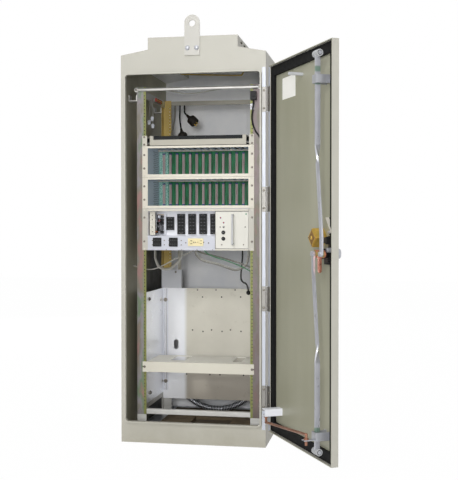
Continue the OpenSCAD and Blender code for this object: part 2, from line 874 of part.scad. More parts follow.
module tube(route, r, sides) {
    p = smooth(route, 3);
    rings = len(p);
    points = [for (i = [0:rings - 1], k = [0:sides - 1]) let (
            t = heading(p, i),
            s = ring_side(t),
            a = 360 * k / sides
        ) p[i] + r * (cos(a) * s + sin(a) * cross(t, s))];
    sides_list = [for (i = [0:rings - 2], k = [0:sides - 1]) let (m = (k + 1) % sides)
        [i * sides + m, i * sides + k, (i + 1) * sides + k, (i + 1) * sides + m]];
    ends = [[for (k = [0:sides - 1]) k], [for (k = [sides - 1:-1:0]) (rings - 1) * sides + k]];
    polyhedron(points, concat(sides_list, ends));
}

module cable_left() {
    color([0.55, 0.56, 0.58]) tube(left_route, cable_r, 10);
}

module cable_right() {
    color([0.55, 0.56, 0.58]) tube(right_route, cable_r, 10);
}

module switch_box() {
    color([0.10, 0.10, 0.10]) {
        translate([rail_in + 3, rack_y - 26, rail_z1 - 68]) cube([24, 26, 36]);
        along_y(rail_in + 15, rail_z1 - 50, rack_y - 32, rack_y - 26, 12);
    }
}

module fan_tray() {
    half = raise_x - sheet_t;
    frame_w = fan_bore + 2 * fan_wall;
    low = fan_plate_z - fan_h;
    color([0.70, 0.64, 0.40]) {
        difference() {
            union() {
                translate([-half, fan_y - fan_plate_d / 2, fan_plate_z])
                    cube([2 * half, fan_plate_d, fan_plate_t]);
                translate([-frame_w / 2, fan_y - frame_w / 2, low]) cube([frame_w, frame_w, fan_h]);
            }
            translate([0, fan_y, low - 1]) cylinder(d = fan_bore, h = fan_h + fan_plate_t + 2);
        }
        for (turn = [0, 90]) translate([0, fan_y, low]) rotate([0, 0, turn])
            translate([-fan_bore / 2 - 1, -strut_w / 2, 0]) cube([fan_bore + 2, strut_w, strut_h]);
        translate([0, fan_y, low]) cylinder(d = motor_d, h = motor_h);
        translate([0, fan_y, low + motor_h]) cylinder(d = spindle_d, h = rotor_h + 2 * rotor_gap);
    }
}

module fan_rotor() {
    low = fan_plate_z - fan_h + motor_h + rotor_gap;
    blade_t = 2.4;
    blade_r = fan_bore / 2 - 3;
    chord = 30;
    color([0.12, 0.12, 0.12]) translate([0, fan_y, low]) difference() {
        union() {
            cylinder(d = motor_d, h = rotor_h);
            for (i = [0:blade_count - 1]) rotate([0, 0, i * 360 / blade_count])
                intersection() {
                    translate([motor_d / 2 - 2, 0, rotor_h / 2]) rotate([blade_tilt, 0, 0])
                        translate([0, -chord / 2, -blade_t / 2]) cube([blade_r, chord, blade_t]);
                    cylinder(r = blade_r, h = rotor_h);
                }
        }
        translate([0, 0, -1]) cylinder(d = spindle_d + 2 * running, h = rotor_h + 2);
    }
}

module door_pan() {
    wide = door_far - door_near;
    color([0.78, 0.77, 0.72]) on_door() difference() {
        union() {
            difference() {
                translate([-door_far, -door_t, door_z0]) cube([wide, door_t, door_h]);
                translate([door_sheet - door_far, panel_v, door_z0 + door_sheet])
                    cube([wide - 2 * door_sheet, door_t, door_h - 2 * door_sheet]);
                translate([-leaf_reach - 1, return_v, door_z0 - 1])
                    cube([leaf_reach + 1, door_t, door_h + 2]);
            }
            translate([-leaf_reach, return_v - door_sheet, door_z0 + door_sheet])
                cube([leaf_reach - door_near - door_sheet, door_sheet, door_h - 2 * door_sheet]);
        }
        along_y(-rod_u, latch_z, -door_t - 1, panel_v + 1, shaft_d + 1);
    }
}

module door_gasket() {
    wide = door_far - door_near - 2 * door_sheet;
    high = door_h - 2 * door_sheet;
    color([0.06, 0.06, 0.06]) on_door()
        translate([-(door_far + door_near) / 2, 0, (door_z0 + door_z1) / 2])
        slab(panel_v, gasket_v - panel_v) difference() {
            square([wide, high], center = true);
            square([wide - 2 * gasket_w, high - 2 * gasket_w], center = true);
        }
}

module log_card() {
    card_w = 130;
    card_h = 84;
    card_t = 0.6;
    color([0.90, 0.90, 0.87]) on_door()
        translate([-108 - card_w, panel_v, opening_top - 130]) cube([card_w, card_t, card_h]);
}

module door_peg() {
    peg_d = 12;
    peg_len = 57;
    color([0.82, 0.83, 0.86]) on_door()
        along_y(-door_far / 2, opening_top - 59, panel_v, panel_v + peg_len, peg_d);
}

module rod_guide(z) {
    foot = 14;
    half = guide_w / 2;
    top_v = guide_v + guide_t;
    translate([-rod_u, 0, z]) linear_extrude(guide_h) polygon([
        [-half - foot, panel_v], [guide_t - half, panel_v], [guide_t - half, guide_v],
        [half - guide_t, guide_v], [half - guide_t, panel_v], [half + foot, panel_v],
        [half + foot, panel_v + guide_t], [half, panel_v + guide_t], [half, top_v], [-half, top_v],
        [-half, panel_v + guide_t], [-half - foot, panel_v + guide_t]
    ]);
}

module rod_guide_upper() {
    color([0.70, 0.70, 0.73]) on_door() rod_guide(guide_up_z);
}

module rod_guide_lower() {
    hook_w = hook_slot + 10;
    color([0.70, 0.70, 0.73]) on_door() {
        rod_guide(guide_low_z);
        translate([-hook_u, 0, hook_top - hook_t]) linear_extrude(hook_t) difference() {
            translate([-hook_w / 2, guide_v + guide_t - 1])
                square([hook_w, hook_v + hook_reach - guide_v - guide_t + 1]);
            translate([0, hook_v]) circle(d = hook_slot);
            translate([-hook_slot / 2, hook_v]) square([hook_slot, hook_reach + 1]);
        }
    }
}

module latch_plate() {
    low = latch_z - 38;
    color([0.09, 0.09, 0.09]) on_door() difference() {
        union() {
            translate([-rod_u - 29, panel_v, low]) cube([57, plate_t, 56]);
            translate([-rod_u - 29, panel_v, low]) cube([22, plate_t, 102]);
            along_y(-rod_u, latch_z, panel_v + plate_t, bearing_v, bearing_d);
        }
        along_y(-rod_u, latch_z, panel_v - 1, bearing_v + 1, shaft_d + 2 * running);
    }
}

module lock_body() {
    lid = 4;
    color([0.78, 0.62, 0.24]) on_door()
        translate([lock_off_u - rod_u, panel_v, latch_z + lock_off_z]) rotate([0, 45, 0]) {
            translate([-lock_w / 2, 0, -lock_w / 2]) cube([lock_w, lock_h - lid, lock_w]);
            translate([1 - lock_w / 2, lock_h - lid, 1 - lock_w / 2]) cube([lock_w - 2, lid, lock_w - 2]);
        }
}

module latch_handle() {
    hub_v = -door_t - seat;
    grip_v = hub_v - hub_h - grip_t;
    color([0.66, 0.66, 0.66]) on_door() {
        along_y(-rod_u, latch_z, hub_v - hub_h, cam_v, shaft_d);
        along_y(-rod_u, latch_z, hub_v - hub_h, hub_v, hub_d);
        slab(grip_v, grip_t) {
            translate([-rod_u, latch_z]) circle(d = hub_d - 10);
            translate([-rod_u, latch_z - grip_w / 2]) square([handle_len - grip_w / 2, grip_w]);
            translate([handle_len - grip_w / 2 - rod_u, latch_z]) circle(d = grip_w);
        }
    }
}

module latch_cam() {
    cam_face = cam_v + cam_t;
    stub = rod_v - rod_t / 2 - cam_face - 0.5;
    color([0.78, 0.58, 0.46]) on_door() {
        slab(cam_v, cam_t) translate([-rod_u, latch_z]) {
            square([2 * throw_r, cam_w], center = true);
            for (side = [-1, 1]) translate([side * throw_r, 0]) circle(d = cam_w);
            translate([-12, -cam_arm]) square([24, cam_arm]);
            translate([0, -cam_arm]) circle(d = 24);
        }
        for (side = [-1, 1]) along_y(side * throw_r - rod_u, latch_z, cam_face, cam_face + stub, 12);
    }
}

// a latch rod drawn for the upper end; the lower one is the same rod turned half round
module latch_rod(pin_x, end_z) {
    axle_len = rod_t + 2 * roller_w + 4 * roller_gap;
    head_t = 2;
    foot_z0 = latch_z + twist_off;
    bar_z = foot_z0 + twist_h;
    translate([-rod_t / 2, rod_v - rod_w / 2, bar_z]) cube([rod_t, rod_w, end_z + rod_w / 2 - bar_z]);
    translate([0, rod_v, foot_z0]) linear_extrude(height = twist_h, twist = 90, slices = 10, segments = 4)
        square([rod_w, rod_t], center = true);
    slab(rod_v - rod_t / 2, rod_t) {
        polygon([
            [-rod_w / 2, foot_z0], [pin_x - rod_w / 2, latch_z + strap_straight],
            [pin_x - rod_w / 2, latch_z], [pin_x + rod_w / 2, latch_z],
            [pin_x + rod_w / 2, latch_z + strap_straight], [rod_w / 2, foot_z0]
        ]);
        translate([pin_x, latch_z]) circle(d = rod_w);
    }
    along_x([0, rod_v, end_z], axle_d, axle_len);
    for (side = [-1, 1]) along_x([side * (axle_len + head_t) / 2, rod_v, end_z], axle_d + 5, head_t);
    along_y(pin_x, latch_z, rod_v + rod_t / 2, rod_v + rod_t / 2 + bolt_h, bolt_d, $fn = 6);
}

module latch_rod_upper() {
    color([0.68, 0.68, 0.71]) on_door() translate([-rod_u, 0, 0]) latch_rod(-throw_r, roller_up_z);
}

module latch_rod_lower() {
    color([0.68, 0.68, 0.71]) on_door() translate([-rod_u, 0, 2 * latch_z]) mirror([0, 0, 1])
        latch_rod(throw_r, 2 * latch_z - roller_low_z);
}

module roller_pair(z) {
    off = rod_t / 2 + roller_gap + roller_w / 2;
    color([0.80, 0.79, 0.76]) on_door() for (side = [-1, 1]) difference() {
        along_x([side * off - rod_u, rod_v, z], roller_d, roller_w);
        along_x([side * off - rod_u, rod_v, z], axle_d + 2 * running, roller_w + 2);
    }
}

module latch_rollers_upper() {
    roller_pair(roller_up_z);
}

module latch_rollers_lower() {
    roller_pair(roller_low_z);
}

module stay_bracket() {
    wide = 35;
    far_u = stay_u + 15;
    color([0.88, 0.88, 0.88]) on_door() difference() {
        translate([-far_u, panel_v, stay_block_z]) cube([wide, stay_reach - panel_v, stay_block_h]);
        translate([stay_wall - far_u, panel_v - 1, stay_block_z + stay_wall])
            cube([wide, stay_reach - panel_v + 2, stay_block_h - 2 * stay_wall]);
        translate([-stay_u, stay_v, stay_block_z - 1]) cylinder(d = stay_d + 2 * running, h = stay_wall + 2);
    }
}

// one bar with a ball at each bend: a leg in the bracket, the long bar and a leg in the hook
module stay_rod() {
    reach = [stay_u - hook_u, hook_v - stay_v, stay_high_z - stay_low_z];
    length = norm(reach);
    leg_top = stay_block_z + stay_block_h - stay_wall - 2;
    ball_d = stay_d + 1.2;
    collar_d = stay_d + 7;
    collar_h = 5;
    color([0.74, 0.52, 0.42]) on_door() {
        translate([-stay_u, stay_v, stay_low_z]) {
            cylinder(d = stay_d, h = leg_top - stay_low_z);
            sphere(d = ball_d);
            rotate([0, acos(reach[2] / length), atan2(reach[1], reach[0])]) cylinder(d = stay_d, h = length);
        }
        translate([-stay_u, stay_v, stay_block_z - seat - collar_h]) cylinder(d = collar_d, h = collar_h);
        translate([-hook_u, hook_v, stay_high_z]) sphere(d = ball_d);
        translate([-hook_u, hook_v, stay_high_z - stay_leg]) cylinder(d = stay_d, h = stay_leg);
        translate([-hook_u, hook_v, hook_top + seat]) cylinder(d = collar_d, h = collar_h);
    }
}

side_wall_left();
side_wall_right();
back_wall();
front_frame();
roof();
base_flange();
lifting_plate_front();
lifting_plate_rear();
lifting_bolts();
hinge_leaves_cabinet();
hinge_pins();
rail_front_left();
rail_front_right();
rails_rear();
tie_top_front();
tie_bottom_front();
ties_rear();
braces_left();
braces_right();
cage_mounts();
drawer_guides();
drawer();
card_file_upper();
card_file_lower();
backplane_upper();
backplane_lower();
card_sockets_upper();
card_sockets_lower();
power_chassis();
relay_sockets();
power_outlets();
duplex_outlet();
power_relay();
power_module();
lower_shelf();
lower_panels();
conduit();
cable_left();
cable_right();
switch_box();
fan_tray();
fan_rotor();
door_pan();
door_gasket();
hinge_leaves_door();
log_card();
door_peg();
rod_guide_upper();
rod_guide_lower();
latch_plate();
lock_body();
latch_handle();
latch_cam();
latch_rod_upper();
latch_rod_lower();
latch_rollers_upper();
latch_rollers_lower();
stay_bracket();
stay_rod();
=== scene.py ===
import math

import bmesh
import bpy
from mathutils import Matrix, Vector

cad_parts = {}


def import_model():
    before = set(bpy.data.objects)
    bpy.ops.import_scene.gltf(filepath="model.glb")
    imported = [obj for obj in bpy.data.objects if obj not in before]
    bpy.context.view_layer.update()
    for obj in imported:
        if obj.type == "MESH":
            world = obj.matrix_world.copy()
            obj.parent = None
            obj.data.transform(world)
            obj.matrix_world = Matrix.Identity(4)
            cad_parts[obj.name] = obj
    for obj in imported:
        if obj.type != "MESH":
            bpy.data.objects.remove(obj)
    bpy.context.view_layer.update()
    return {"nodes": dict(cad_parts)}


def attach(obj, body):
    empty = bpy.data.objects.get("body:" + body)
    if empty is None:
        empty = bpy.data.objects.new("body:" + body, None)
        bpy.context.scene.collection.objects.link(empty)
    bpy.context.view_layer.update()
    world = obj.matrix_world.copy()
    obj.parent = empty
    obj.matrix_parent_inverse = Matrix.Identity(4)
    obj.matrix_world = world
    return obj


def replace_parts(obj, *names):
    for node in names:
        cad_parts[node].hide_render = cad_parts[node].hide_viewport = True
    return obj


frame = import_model()
nodes = frame["nodes"]
scene = bpy.context.scene
scene.view_settings.view_transform = "Standard"

HINGE = Vector((0.3105, -0.385, 0))
DOOR_TURN = math.radians(119)
DOOR = Matrix.Translation(HINGE) @ Matrix.Rotation(DOOR_TURN, 4, "Z")


def srgb(r, g, b):
    def lin(c):
        c /= 255
        return c / 12.92 if c <= 0.04045 else ((c + 0.055) / 1.055) ** 2.4
    return (lin(r), lin(g), lin(b), 1)


# camera
SENSOR, FOCAL_PX, FRAME_PX = 36, 920.3, 480
YAW, PITCH = math.radians(10.24), math.radians(-0.95)
cam = bpy.data.cameras.new("camera")
cam.sensor_fit = "VERTICAL"
cam.sensor_height = SENSOR
cam.lens = SENSOR * FOCAL_PX / FRAME_PX
cam_ob = bpy.data.objects.new("camera", cam)
scene.collection.objects.link(cam_ob)
cam_ob.location = (0.823, -4.088, 0.910)
cam_ob.rotation_euler = (math.pi / 2 + PITCH, 0, YAW)
scene.camera = cam_ob


# materials
NOISE_LOW, NOISE_HIGH = 0.3, 0.7


def shade(rgb, k):
    """A colour on the 0 to 255 scale, made lighter or darker."""
    return tuple(min(1, c * k) for c in srgb(*rgb)[:3]) + (1,)


class Nodes:
    """Short calls for a material's node tree."""

    def __init__(self, name):
        self.mat = bpy.data.materials.new(name)
        self.mat.use_nodes = True
        self.tree = self.mat.node_tree
        self.bsdf = self.tree.nodes["Principled BSDF"]
        self.coord = self.add("ShaderNodeTexCoord").outputs["Object"]

    def add(self, kind, **values):
        node = self.tree.nodes.new(kind)
        for key, value in values.items():
            setattr(node, key, value)
        return node

    def link(self, a, b):
        self.tree.links.new(a, b)

    def fill(self, socket, value):
        """Sets a socket to a number or colour, or links another socket to it."""
        if isinstance(value, bpy.types.NodeSocket):
            self.link(value, socket)
        else:
            socket.default_value = value

    def put(self, node, **inputs):
        for key, value in inputs.items():
            self.fill(node.inputs[key], value)

    def noise(self, scale, detail=4, rough=0.55, stretch=(1, 1, 1)):
        mapping = self.add("ShaderNodeMapping")
        self.put(mapping, Vector=self.coord, Scale=stretch)
        tex = self.add("ShaderNodeTexNoise")
        self.put(tex, Vector=mapping.outputs["Vector"], Scale=scale, Detail=detail, Roughness=rough)
        return tex.outputs["Fac"]

    def ramp(self, fac, stops):
        ramp = self.add("ShaderNodeValToRGB")
        bar = ramp.color_ramp
        while len(bar.elements) < len(stops):
            bar.elements.new(0.5)
        for el, (pos, color) in zip(bar.elements, stops):
            el.position = pos
            el.color = color
        self.link(fac, ramp.inputs["Fac"])
        return ramp.outputs["Color"]

    def clouds(self, fac, dark, light):
        return self.ramp(fac, [(NOISE_LOW, dark), (NOISE_HIGH, light)])

    def tones(self, fac, color, vary):
        """A colour that drifts by a share of itself."""
        return self.clouds(fac, shade(color, 1 - vary), shade(color, 1 + vary))

    def step(self, value, low, high, to=(0, 1)):
        rng = self.add("ShaderNodeMapRange")
        for key, number in zip(("From Min", "From Max", "To Min", "To Max"), (low, high, *to)):
            rng.inputs[key].default_value = number
        self.link(value, rng.inputs["Value"])
        return rng.outputs["Result"]

    def mix(self, fac, a, b):
        mix = self.add("ShaderNodeMix", data_type="RGBA")
        self.put(mix, Factor=fac, A=a, B=b)
        return mix.outputs["Result"]

    def math(self, operation, *values):
        node = self.add("ShaderNodeMath", operation=operation)
        for socket, value in zip(node.inputs, values):
            self.fill(socket, value)
        return node.outputs["Value"]

    def axis(self, name):
        sep = self.add("ShaderNodeSeparateXYZ")
        self.link(self.coord, sep.inputs["Vector"])
        return sep.outputs[name]

    def facing(self, direction):
        """1 where the surface faces a direction at rest."""
        dot = self.add("ShaderNodeVectorMath", operation="DOT_PRODUCT")
        dot.inputs[1].default_value = direction
        self.link(self.add("ShaderNodeTexCoord").outputs["Normal"], dot.inputs[0])
        return self.step(dot.outputs["Value"], 0.6, 0.9)

    def color(self, socket):
        self.link(socket, self.bsdf.inputs["Base Color"])

    def metallic(self, value):
        self.put(self.bsdf, Metallic=value)

    def gloss(self, value):
        self.bsdf.inputs["Specular IOR Level"].default_value = value

    def rough(self, fac, low, high):
        self.put(self.bsdf, Roughness=self.step(fac, NOISE_LOW, NOISE_HIGH, (low, high)))

    def bump(self, fac, strength, distance=0.0003):
        node = self.add("ShaderNodeBump")
        self.put(node, Strength=strength, Distance=distance, Height=fac)
        self.put(self.bsdf, Normal=node.outputs["Normal"])

    def orange_peel(self, strength=0.1):
        self.bump(self.noise(420, 2), strength, 0.0004)


def paint(name, color, vary):
    """Satin paint: slow tone drift and orange peel."""
    n = Nodes(name)
    n.color(n.tones(n.noise(3, 5), color, vary))
    n.rough(n.noise(30), 0.36, 0.5)
    n.orange_peel(0.12)
    return n.mat


def metal(name, color, rough, vary, metallic=1, scale=40, stretch=(1, 1, 1)):
    """Plated or rolled metal with stains and a drawn grain."""
    n = Nodes(name)
    n.metallic(metallic)
    n.color(n.tones(n.noise(scale, 6, 0.6, stretch), color, vary))
    n.rough(n.noise(scale * 3, 4, 0.6, stretch), rough - 0.08, rough + 0.12)
    n.bump(n.noise(scale * 8, 3, 0.6, stretch), 0.08)
    return n.mat


def plastic(name, color, rough=0.45, vary=0.08, gloss=0.5):
    """Moulded plastic, paper or rubber with a fine grain."""
    n = Nodes(name)
    n.gloss(gloss)
    n.color(n.tones(n.noise(18), color, vary))
    n.rough(n.noise(60), rough - 0.05, rough + 0.1)
    n.bump(n.noise(700, 2), 0.10)
    return n.mat


HOUSING = (181, 179, 169)


def housing_material(name, inner=None, inward=(0, 0, 1), low_deep_painted_light=1.5):
    """Warm grey paint, dusty near the ground; inner faces are tinted by painted light and shade."""
    n = Nodes(name)
    base = n.tones(n.noise(2.2, 5), HOUSING, 0.04)
    dust = n.step(n.axis("Z"), 0.16, 0)
    color = n.mix(n.math("MULTIPLY", dust, n.noise(14, 6, 0.65)), base, srgb(152, 147, 130))
    if inner:
        # Painted light and shade on the inner face: one tone near the opening; further in, a scaled tone
        # below z 0.95 and a brighter one above z 1.1.
        cloud = n.noise(6, 5)
        near, low, high = (n.clouds(cloud, shade(inner, 0.9 * k), shade(inner, 1.08 * k))
                           for k in (1, low_deep_painted_light, 1.5))
        deep_painted_light = n.mix(n.step(n.axis("Z"), 0.95, 1.1), low, high)
        painted_light_inner = n.mix(n.step(n.axis("Y"), -0.22, 0.08), near, deep_painted_light)
        color = n.mix(n.facing(inward), color, painted_light_inner)
    n.color(color)
    n.rough(n.noise(26), 0.38, 0.52)
    n.orange_peel()
    return n.mat


def door_material():
    """The housing's paint; the inner panel is a deeper olive grey, painted shade, with faint streaks."""
    n = Nodes("door_paint")
    inward = n.facing(DOOR.to_3x3() @ Vector((0, 1, 0)))
    streak = n.noise(9, 6, 0.6, (1, 1, 0.12))
    outer = n.clouds(n.noise(2.2, 5), shade(HOUSING, 0.93), shade(HOUSING, 1))
    # The inner panel's olive grey is painted shade on the housing's paint.
    n.color(n.mix(inward, outer, n.clouds(streak, srgb(158, 157, 136), srgb(169, 168, 149))))
    n.rough(streak, 0.34, 0.48)
    n.orange_peel()
    return n.mat


def rail_material():
    """Yellow chromate on zinc: pink, green and lilac clouds, and a yellow-green strip along the holes."""
    n = Nodes("rail_plating")
    n.metallic(0.3)
    clouds = n.ramp(n.noise(9, 5, 0.6, (1.6, 1.6, 0.5)), [
        (0.34, srgb(148, 114, 110)), (0.43, srgb(122, 118, 106)), (0.5, srgb(137, 131, 135)),
        (0.57, srgb(107, 126, 100)), (0.66, srgb(150, 114, 109)),
    ])
    # Painted shade: the right rail is darkened, though both rails have the same plating.
    right = n.math("MULTIPLY", n.step(n.axis("X"), -0.01, 0.01), 0.65)
    clouds = n.mix(right, clouds, srgb(92, 74, 72))
    strip = n.step(n.math("ABSOLUTE", n.axis("X")), 0.2366, 0.2356)
    n.color(n.mix(strip, clouds, srgb(122, 126, 70)))
    n.rough(n.noise(50), 0.30, 0.46)
    n.bump(n.noise(260, 3), 0.06)
    return n.mat


def backplane_material():
    """Green board with fine tracks; the left end is lighter and speckled."""
    n = Nodes("board_green")
    n.gloss(0.25)
    tracks = n.noise(30, 3, 0.6, (9, 1, 0.6))
    green = n.ramp(tracks, [(0.35, srgb(2, 72, 38)), (0.5, srgb(6, 104, 58)), (0.68, srgb(28, 136, 88))])
    pale = n.ramp(n.noise(420, 2), [(0.42, srgb(60, 140, 120)), (0.56, srgb(176, 214, 204))])
    n.color(n.mix(n.step(n.axis("X"), -0.174, -0.180), green, pale))
    n.rough(n.noise(80), 0.25, 0.45)
    n.bump(tracks, 0.12, 0.0004)
    return n.mat


def panel_material():
    """White sheet; painted shade makes the rear panel cream right of the joint and darker low down; the side
    panel is shiny.
    """
    n = Nodes("white_sheet")
    soft = n.noise(4, 5)
    white = n.clouds(soft, srgb(246, 248, 253), srgb(252, 253, 255))
    # Painted shade: the rear panel right of the joint is cream, as in shadow.
    cream = n.clouds(soft, srgb(208, 204, 190), srgb(224, 220, 206))
    # Painted shadow: darker low down, below the shelf.
    cream = n.mix(n.step(n.axis("Z"), 0.30, 0.24), cream, srgb(182, 175, 163))
    n.color(n.mix(n.step(n.axis("X"), -0.156, -0.138), white, cream))
    n.metallic(n.math("MULTIPLY", n.facing((1, 0, 0)), 0.9))
    n.rough(n.noise(40), 0.26, 0.40)
    n.bump(n.noise(500, 2), 0.06)
    return n.mat


def split_material(name, outer, inner, edge, metallic=0):
    """Two tones on one part, in front of the plane y = edge and behind it."""
    n = Nodes(name)
    slow = n.noise(5, 5)
    front = n.step(n.axis("Y"), edge + 0.0001, edge - 0.0001)
    n.color(n.mix(front, n.tones(slow, inner, 0.03), n.tones(slow, outer, 0.03)))
    if metallic:
        n.metallic(n.math("MULTIPLY", front, metallic))
    n.rough(n.noise(40), 0.36, 0.5)
    n.orange_peel()
    return n.mat


def unit_material(name, inner, face, ears, side_shine):
    """A rack unit: ears in their own tone, inside and front face in painted light and shade, right side
    shiny.
    """
    n = Nodes(name)
    slow = n.noise(5, 5)
    outside = n.step(n.math("ABSOLUTE", n.axis("X")), 0.2176, 0.2180)
    front = n.step(n.axis("Y"), -0.2792, -0.2796)
    # Painted light and shade: the inside is lighter than the front face.
    inside, ahead, cream = (n.tones(slow, color, 0.03) for color in (inner, face, ears))
    n.color(n.mix(outside, n.mix(front, inside, ahead), cream))
    n.metallic(n.math("MULTIPLY", n.facing((1, 0, 0)), side_shine))
    n.rough(n.noise(40), 0.30, 0.44)
    n.orange_peel()
    return n.mat


def rod_material():
    """Zinc-plated bar with a smear of green grease beside the guides."""
    n = Nodes("rod_zinc")
    n.metallic(0.55)
    along = (1, 1, 0.2)
    soft = 0.003
    color = n.clouds(n.noise(40, 6, 0.6, along), srgb(182, 184, 192), srgb(210, 211, 217))
    z = n.axis("Z")
    for low, high in ((1.444, 1.463), (1.399, 1.406), (0.182, 0.199)):
        band = n.math("MULTIPLY", n.step(z, low - soft, low + soft), n.step(z, high + soft, high - soft))
        color = n.mix(band, color, srgb(134, 158, 144))
    n.color(color)
    n.rough(n.noise(120, 4, 0.6, along), 0.26, 0.44)
    n.bump(n.noise(320, 3, 0.6, along), 0.08)
    return n.mat


UP, ACROSS = (1, 1, 0.25), (0.3, 1, 1)
M = {
    "housing": housing_material("housing_paint"),
    # Inner tones are painted light and shade: a lit ceiling and rear wall, darker side walls, and the lower
    # left wall dark as painted shadow.
    "roof": housing_material("roof_paint", (216, 215, 211), (0, 0, -1)),
    "left_wall": housing_material("left_wall_paint", (150, 147, 128), (1, 0, 0), 0.14),
    "right_wall": housing_material("right_wall_paint", (132, 129, 112), (-1, 0, 0)),
    "rear_wall": housing_material("rear_wall_paint", (206, 208, 212), (0, -1, 0)),
    # Painted shade: the drawer's inside is dark, as in shadow.
    "drawer": split_material("drawer_paint", (174, 170, 157), (54, 57, 57), -0.278),
    "slide": split_material("slide_paint", (196, 192, 180), (22, 22, 23), -0.278),
    # Painted light: the shelf's top is lighter than its front face.
    "shelf": split_material("shelf_paint", (208, 204, 190), (244, 241, 230), -0.2785),
    "module": split_material("module_paint", (186, 187, 190), (216, 214, 205), -0.2846, 0.4),
    # Painted light: the chassis's inside is brighter than its front face, and the card file's inside is a
    # pale blue as painted reflection.
    "chassis": unit_material("chassis_paint", (246, 247, 253), (197, 199, 208),
                             (190, 187, 177), 0.5),
    "file": unit_material("file_paint", (214, 224, 236), (217, 212, 198),
                          (212, 207, 193), 0.2),
    "rod": rod_material(),
    "door": door_material(),
    "rail": rail_material(),
    "backplane": backplane_material(),
    "panel": panel_material(),
    "white": paint("white_paint", (232, 234, 242), 0.03),
    "lift": paint("lift_paint", (188, 186, 179), 0.03),
    "plate": paint("plate_paint", (196, 198, 203), 0.04),
    "ear": paint("ear_paint", (204, 200, 188), 0.03),
    "black_steel": paint("black_steel", (18, 18, 19), 0.2),
    # Rivets in the inner door panel's olive, which is painted shade.
    "door_rivet": paint("rivet_paint", (166, 164, 148), 0.06),
    "bright": metal("bright_aluminium", (184, 188, 198), 0.4, 0.03, 0.3, 40, (1, 1, 0.2)),
    "hinge": metal("hinge_metal", (134, 132, 128), 0.34, 0.14, 0.75, 40, (1, 1, 0.3)),
    "zinc": metal("zinc_plate", (184, 186, 192), 0.38, 0.10, 0.6, 40, UP),
    "yellow_zinc": metal("yellow_zinc", (168, 146, 84), 0.4, 0.16, 0.5, 14, (1, 1, 0.4)),
    "cage": metal("cage_metal", (204, 203, 199), 0.4, 0.08, 0.5, 40, ACROSS),
    "rear_tie": metal("rear_tie_metal", (150, 147, 136), 0.45, 0.15, 0.4, 30, ACROSS),
    "chrome": metal("peg_plating", (206, 208, 214), 0.42, 0.05, 0.4),
    "brass": metal("lock_brass", (204, 170, 84), 0.38, 0.16, 0.6, 60),
    "lock_dark": metal("lock_plate", (142, 108, 58), 0.42, 0.2, 0.5, 60),
    "copper": metal("copper_plating", (142, 100, 80), 0.42, 0.2, 0.5, 24),
    "gold_zinc": metal("gold_zinc", (196, 128, 104), 0.3, 0.25, 0.7, 30),
    "screw": metal("screw_metal", (126, 120, 112), 0.34, 0.25, 1, 90),
    # Light metal on the conduit's rib crests: a painted highlight.
    "conduit": metal("conduit_ridge_highlight", (168, 170, 176), 0.3, 0.12, 0.5, 60),
    "socket": plastic("socket_plastic", (196, 176, 178)),
    "black": plastic("black_plastic", (15, 15, 16), gloss=0.25),
    "ivory": plastic("ivory_plastic", (230, 217, 170), 0.35),
    "sleeve": plastic("cable_sleeve", (120, 118, 110), 0.5),
    "pale": plastic("pale_sleeve", (158, 156, 148), 0.5),
    "green_wire": plastic("green_wire", (38, 122, 74), 0.42),
    "rubber": plastic("gasket_rubber", (15, 15, 15), 0.75, gloss=0.2),
    "paper": plastic("card_paper", (250, 249, 243), 0.75, 0.02),
    "nylon": plastic("roller_plastic", (176, 178, 180), 0.42),
    "board": plastic("base_board", (104, 90, 70), 0.8, 0.25),
    "plug": plastic("plug_rubber", (40, 35, 30), 0.55, gloss=0.3),
    # The drawer's black cover: painted shade for its inside.
    "lid": plastic("lid_plastic", (36, 38, 39), 0.6, gloss=0.15),
    "red_lens": plastic("red_lens", (150, 18, 30), 0.16),
    "green_lens": plastic("green_lens", (40, 150, 110), 0.16),
    "red": plastic("red_plastic", (176, 52, 44), 0.4),
    "orange": plastic("orange_plastic", (206, 110, 48), 0.4),
    "blue": plastic("blue_plastic", (34, 48, 120), 0.4),
    "grey": plastic("grey_plastic", (112, 112, 118), 0.4),
    "board_dark": plastic("board_dark", (70, 62, 60), 0.5),
    # Holes, slots, gaps and grooves drawn as dark surfaces: painted shade.
    "hole": plastic("painted_recess_shade", (14, 14, 15), 0.8),
}
FINISH_OF = {
    "housing": "front_frame", "roof": "roof", "left_wall": "side_wall_left", "right_wall": "side_wall_right",
    "rear_wall": "back_wall", "drawer": "drawer", "rod": "latch_rod_upper latch_rod_lower",
    "door": "door_pan", "rail": "rail_front_left rail_front_right", "yellow_zinc": "rails_rear fan_tray",
    "lift": "lifting_plate_front lifting_plate_rear",
    "zinc": "base_flange lifting_bolts hinge_pins rod_guide_upper rod_guide_lower latch_handle",
    "hinge": "hinge_leaves_cabinet hinge_leaves_door", "rear_tie": "ties_rear",
    "cage": "tie_top_front tie_bottom_front braces_left braces_right cage_mounts",
    "shelf": "lower_shelf", "slide": "drawer_guides", "file": "card_file_upper card_file_lower",
    "module": "power_module", "chassis": "power_chassis", "white": "stay_bracket",
    "backplane": "backplane_upper backplane_lower", "socket": "card_sockets_upper card_sockets_lower",
    "black": "relay_sockets power_outlets power_relay switch_box fan_rotor conduit",
    "ivory": "duplex_outlet", "panel": "lower_panels", "sleeve": "cable_left cable_right",
    "rubber": "door_gasket", "paper": "log_card", "chrome": "door_peg", "black_steel": "latch_plate",
    "brass": "lock_body", "gold_zinc": "latch_cam", "copper": "stay_rod",
    "nylon": "latch_rollers_upper latch_rollers_lower",
}
for finish, names in FINISH_OF.items():
    for name in names.split():
        mesh = nodes[name].data
        mesh.materials.clear()
        mesh.materials.append(M[finish])


# mesh pieces, in millimetres
MM = Matrix.Scale(0.001, 4)
FRONT, RIGHT, INWARD = (0, -1, 0), (1, 0, 0), (0, 1, 0)
SIDES = (-1, 1)


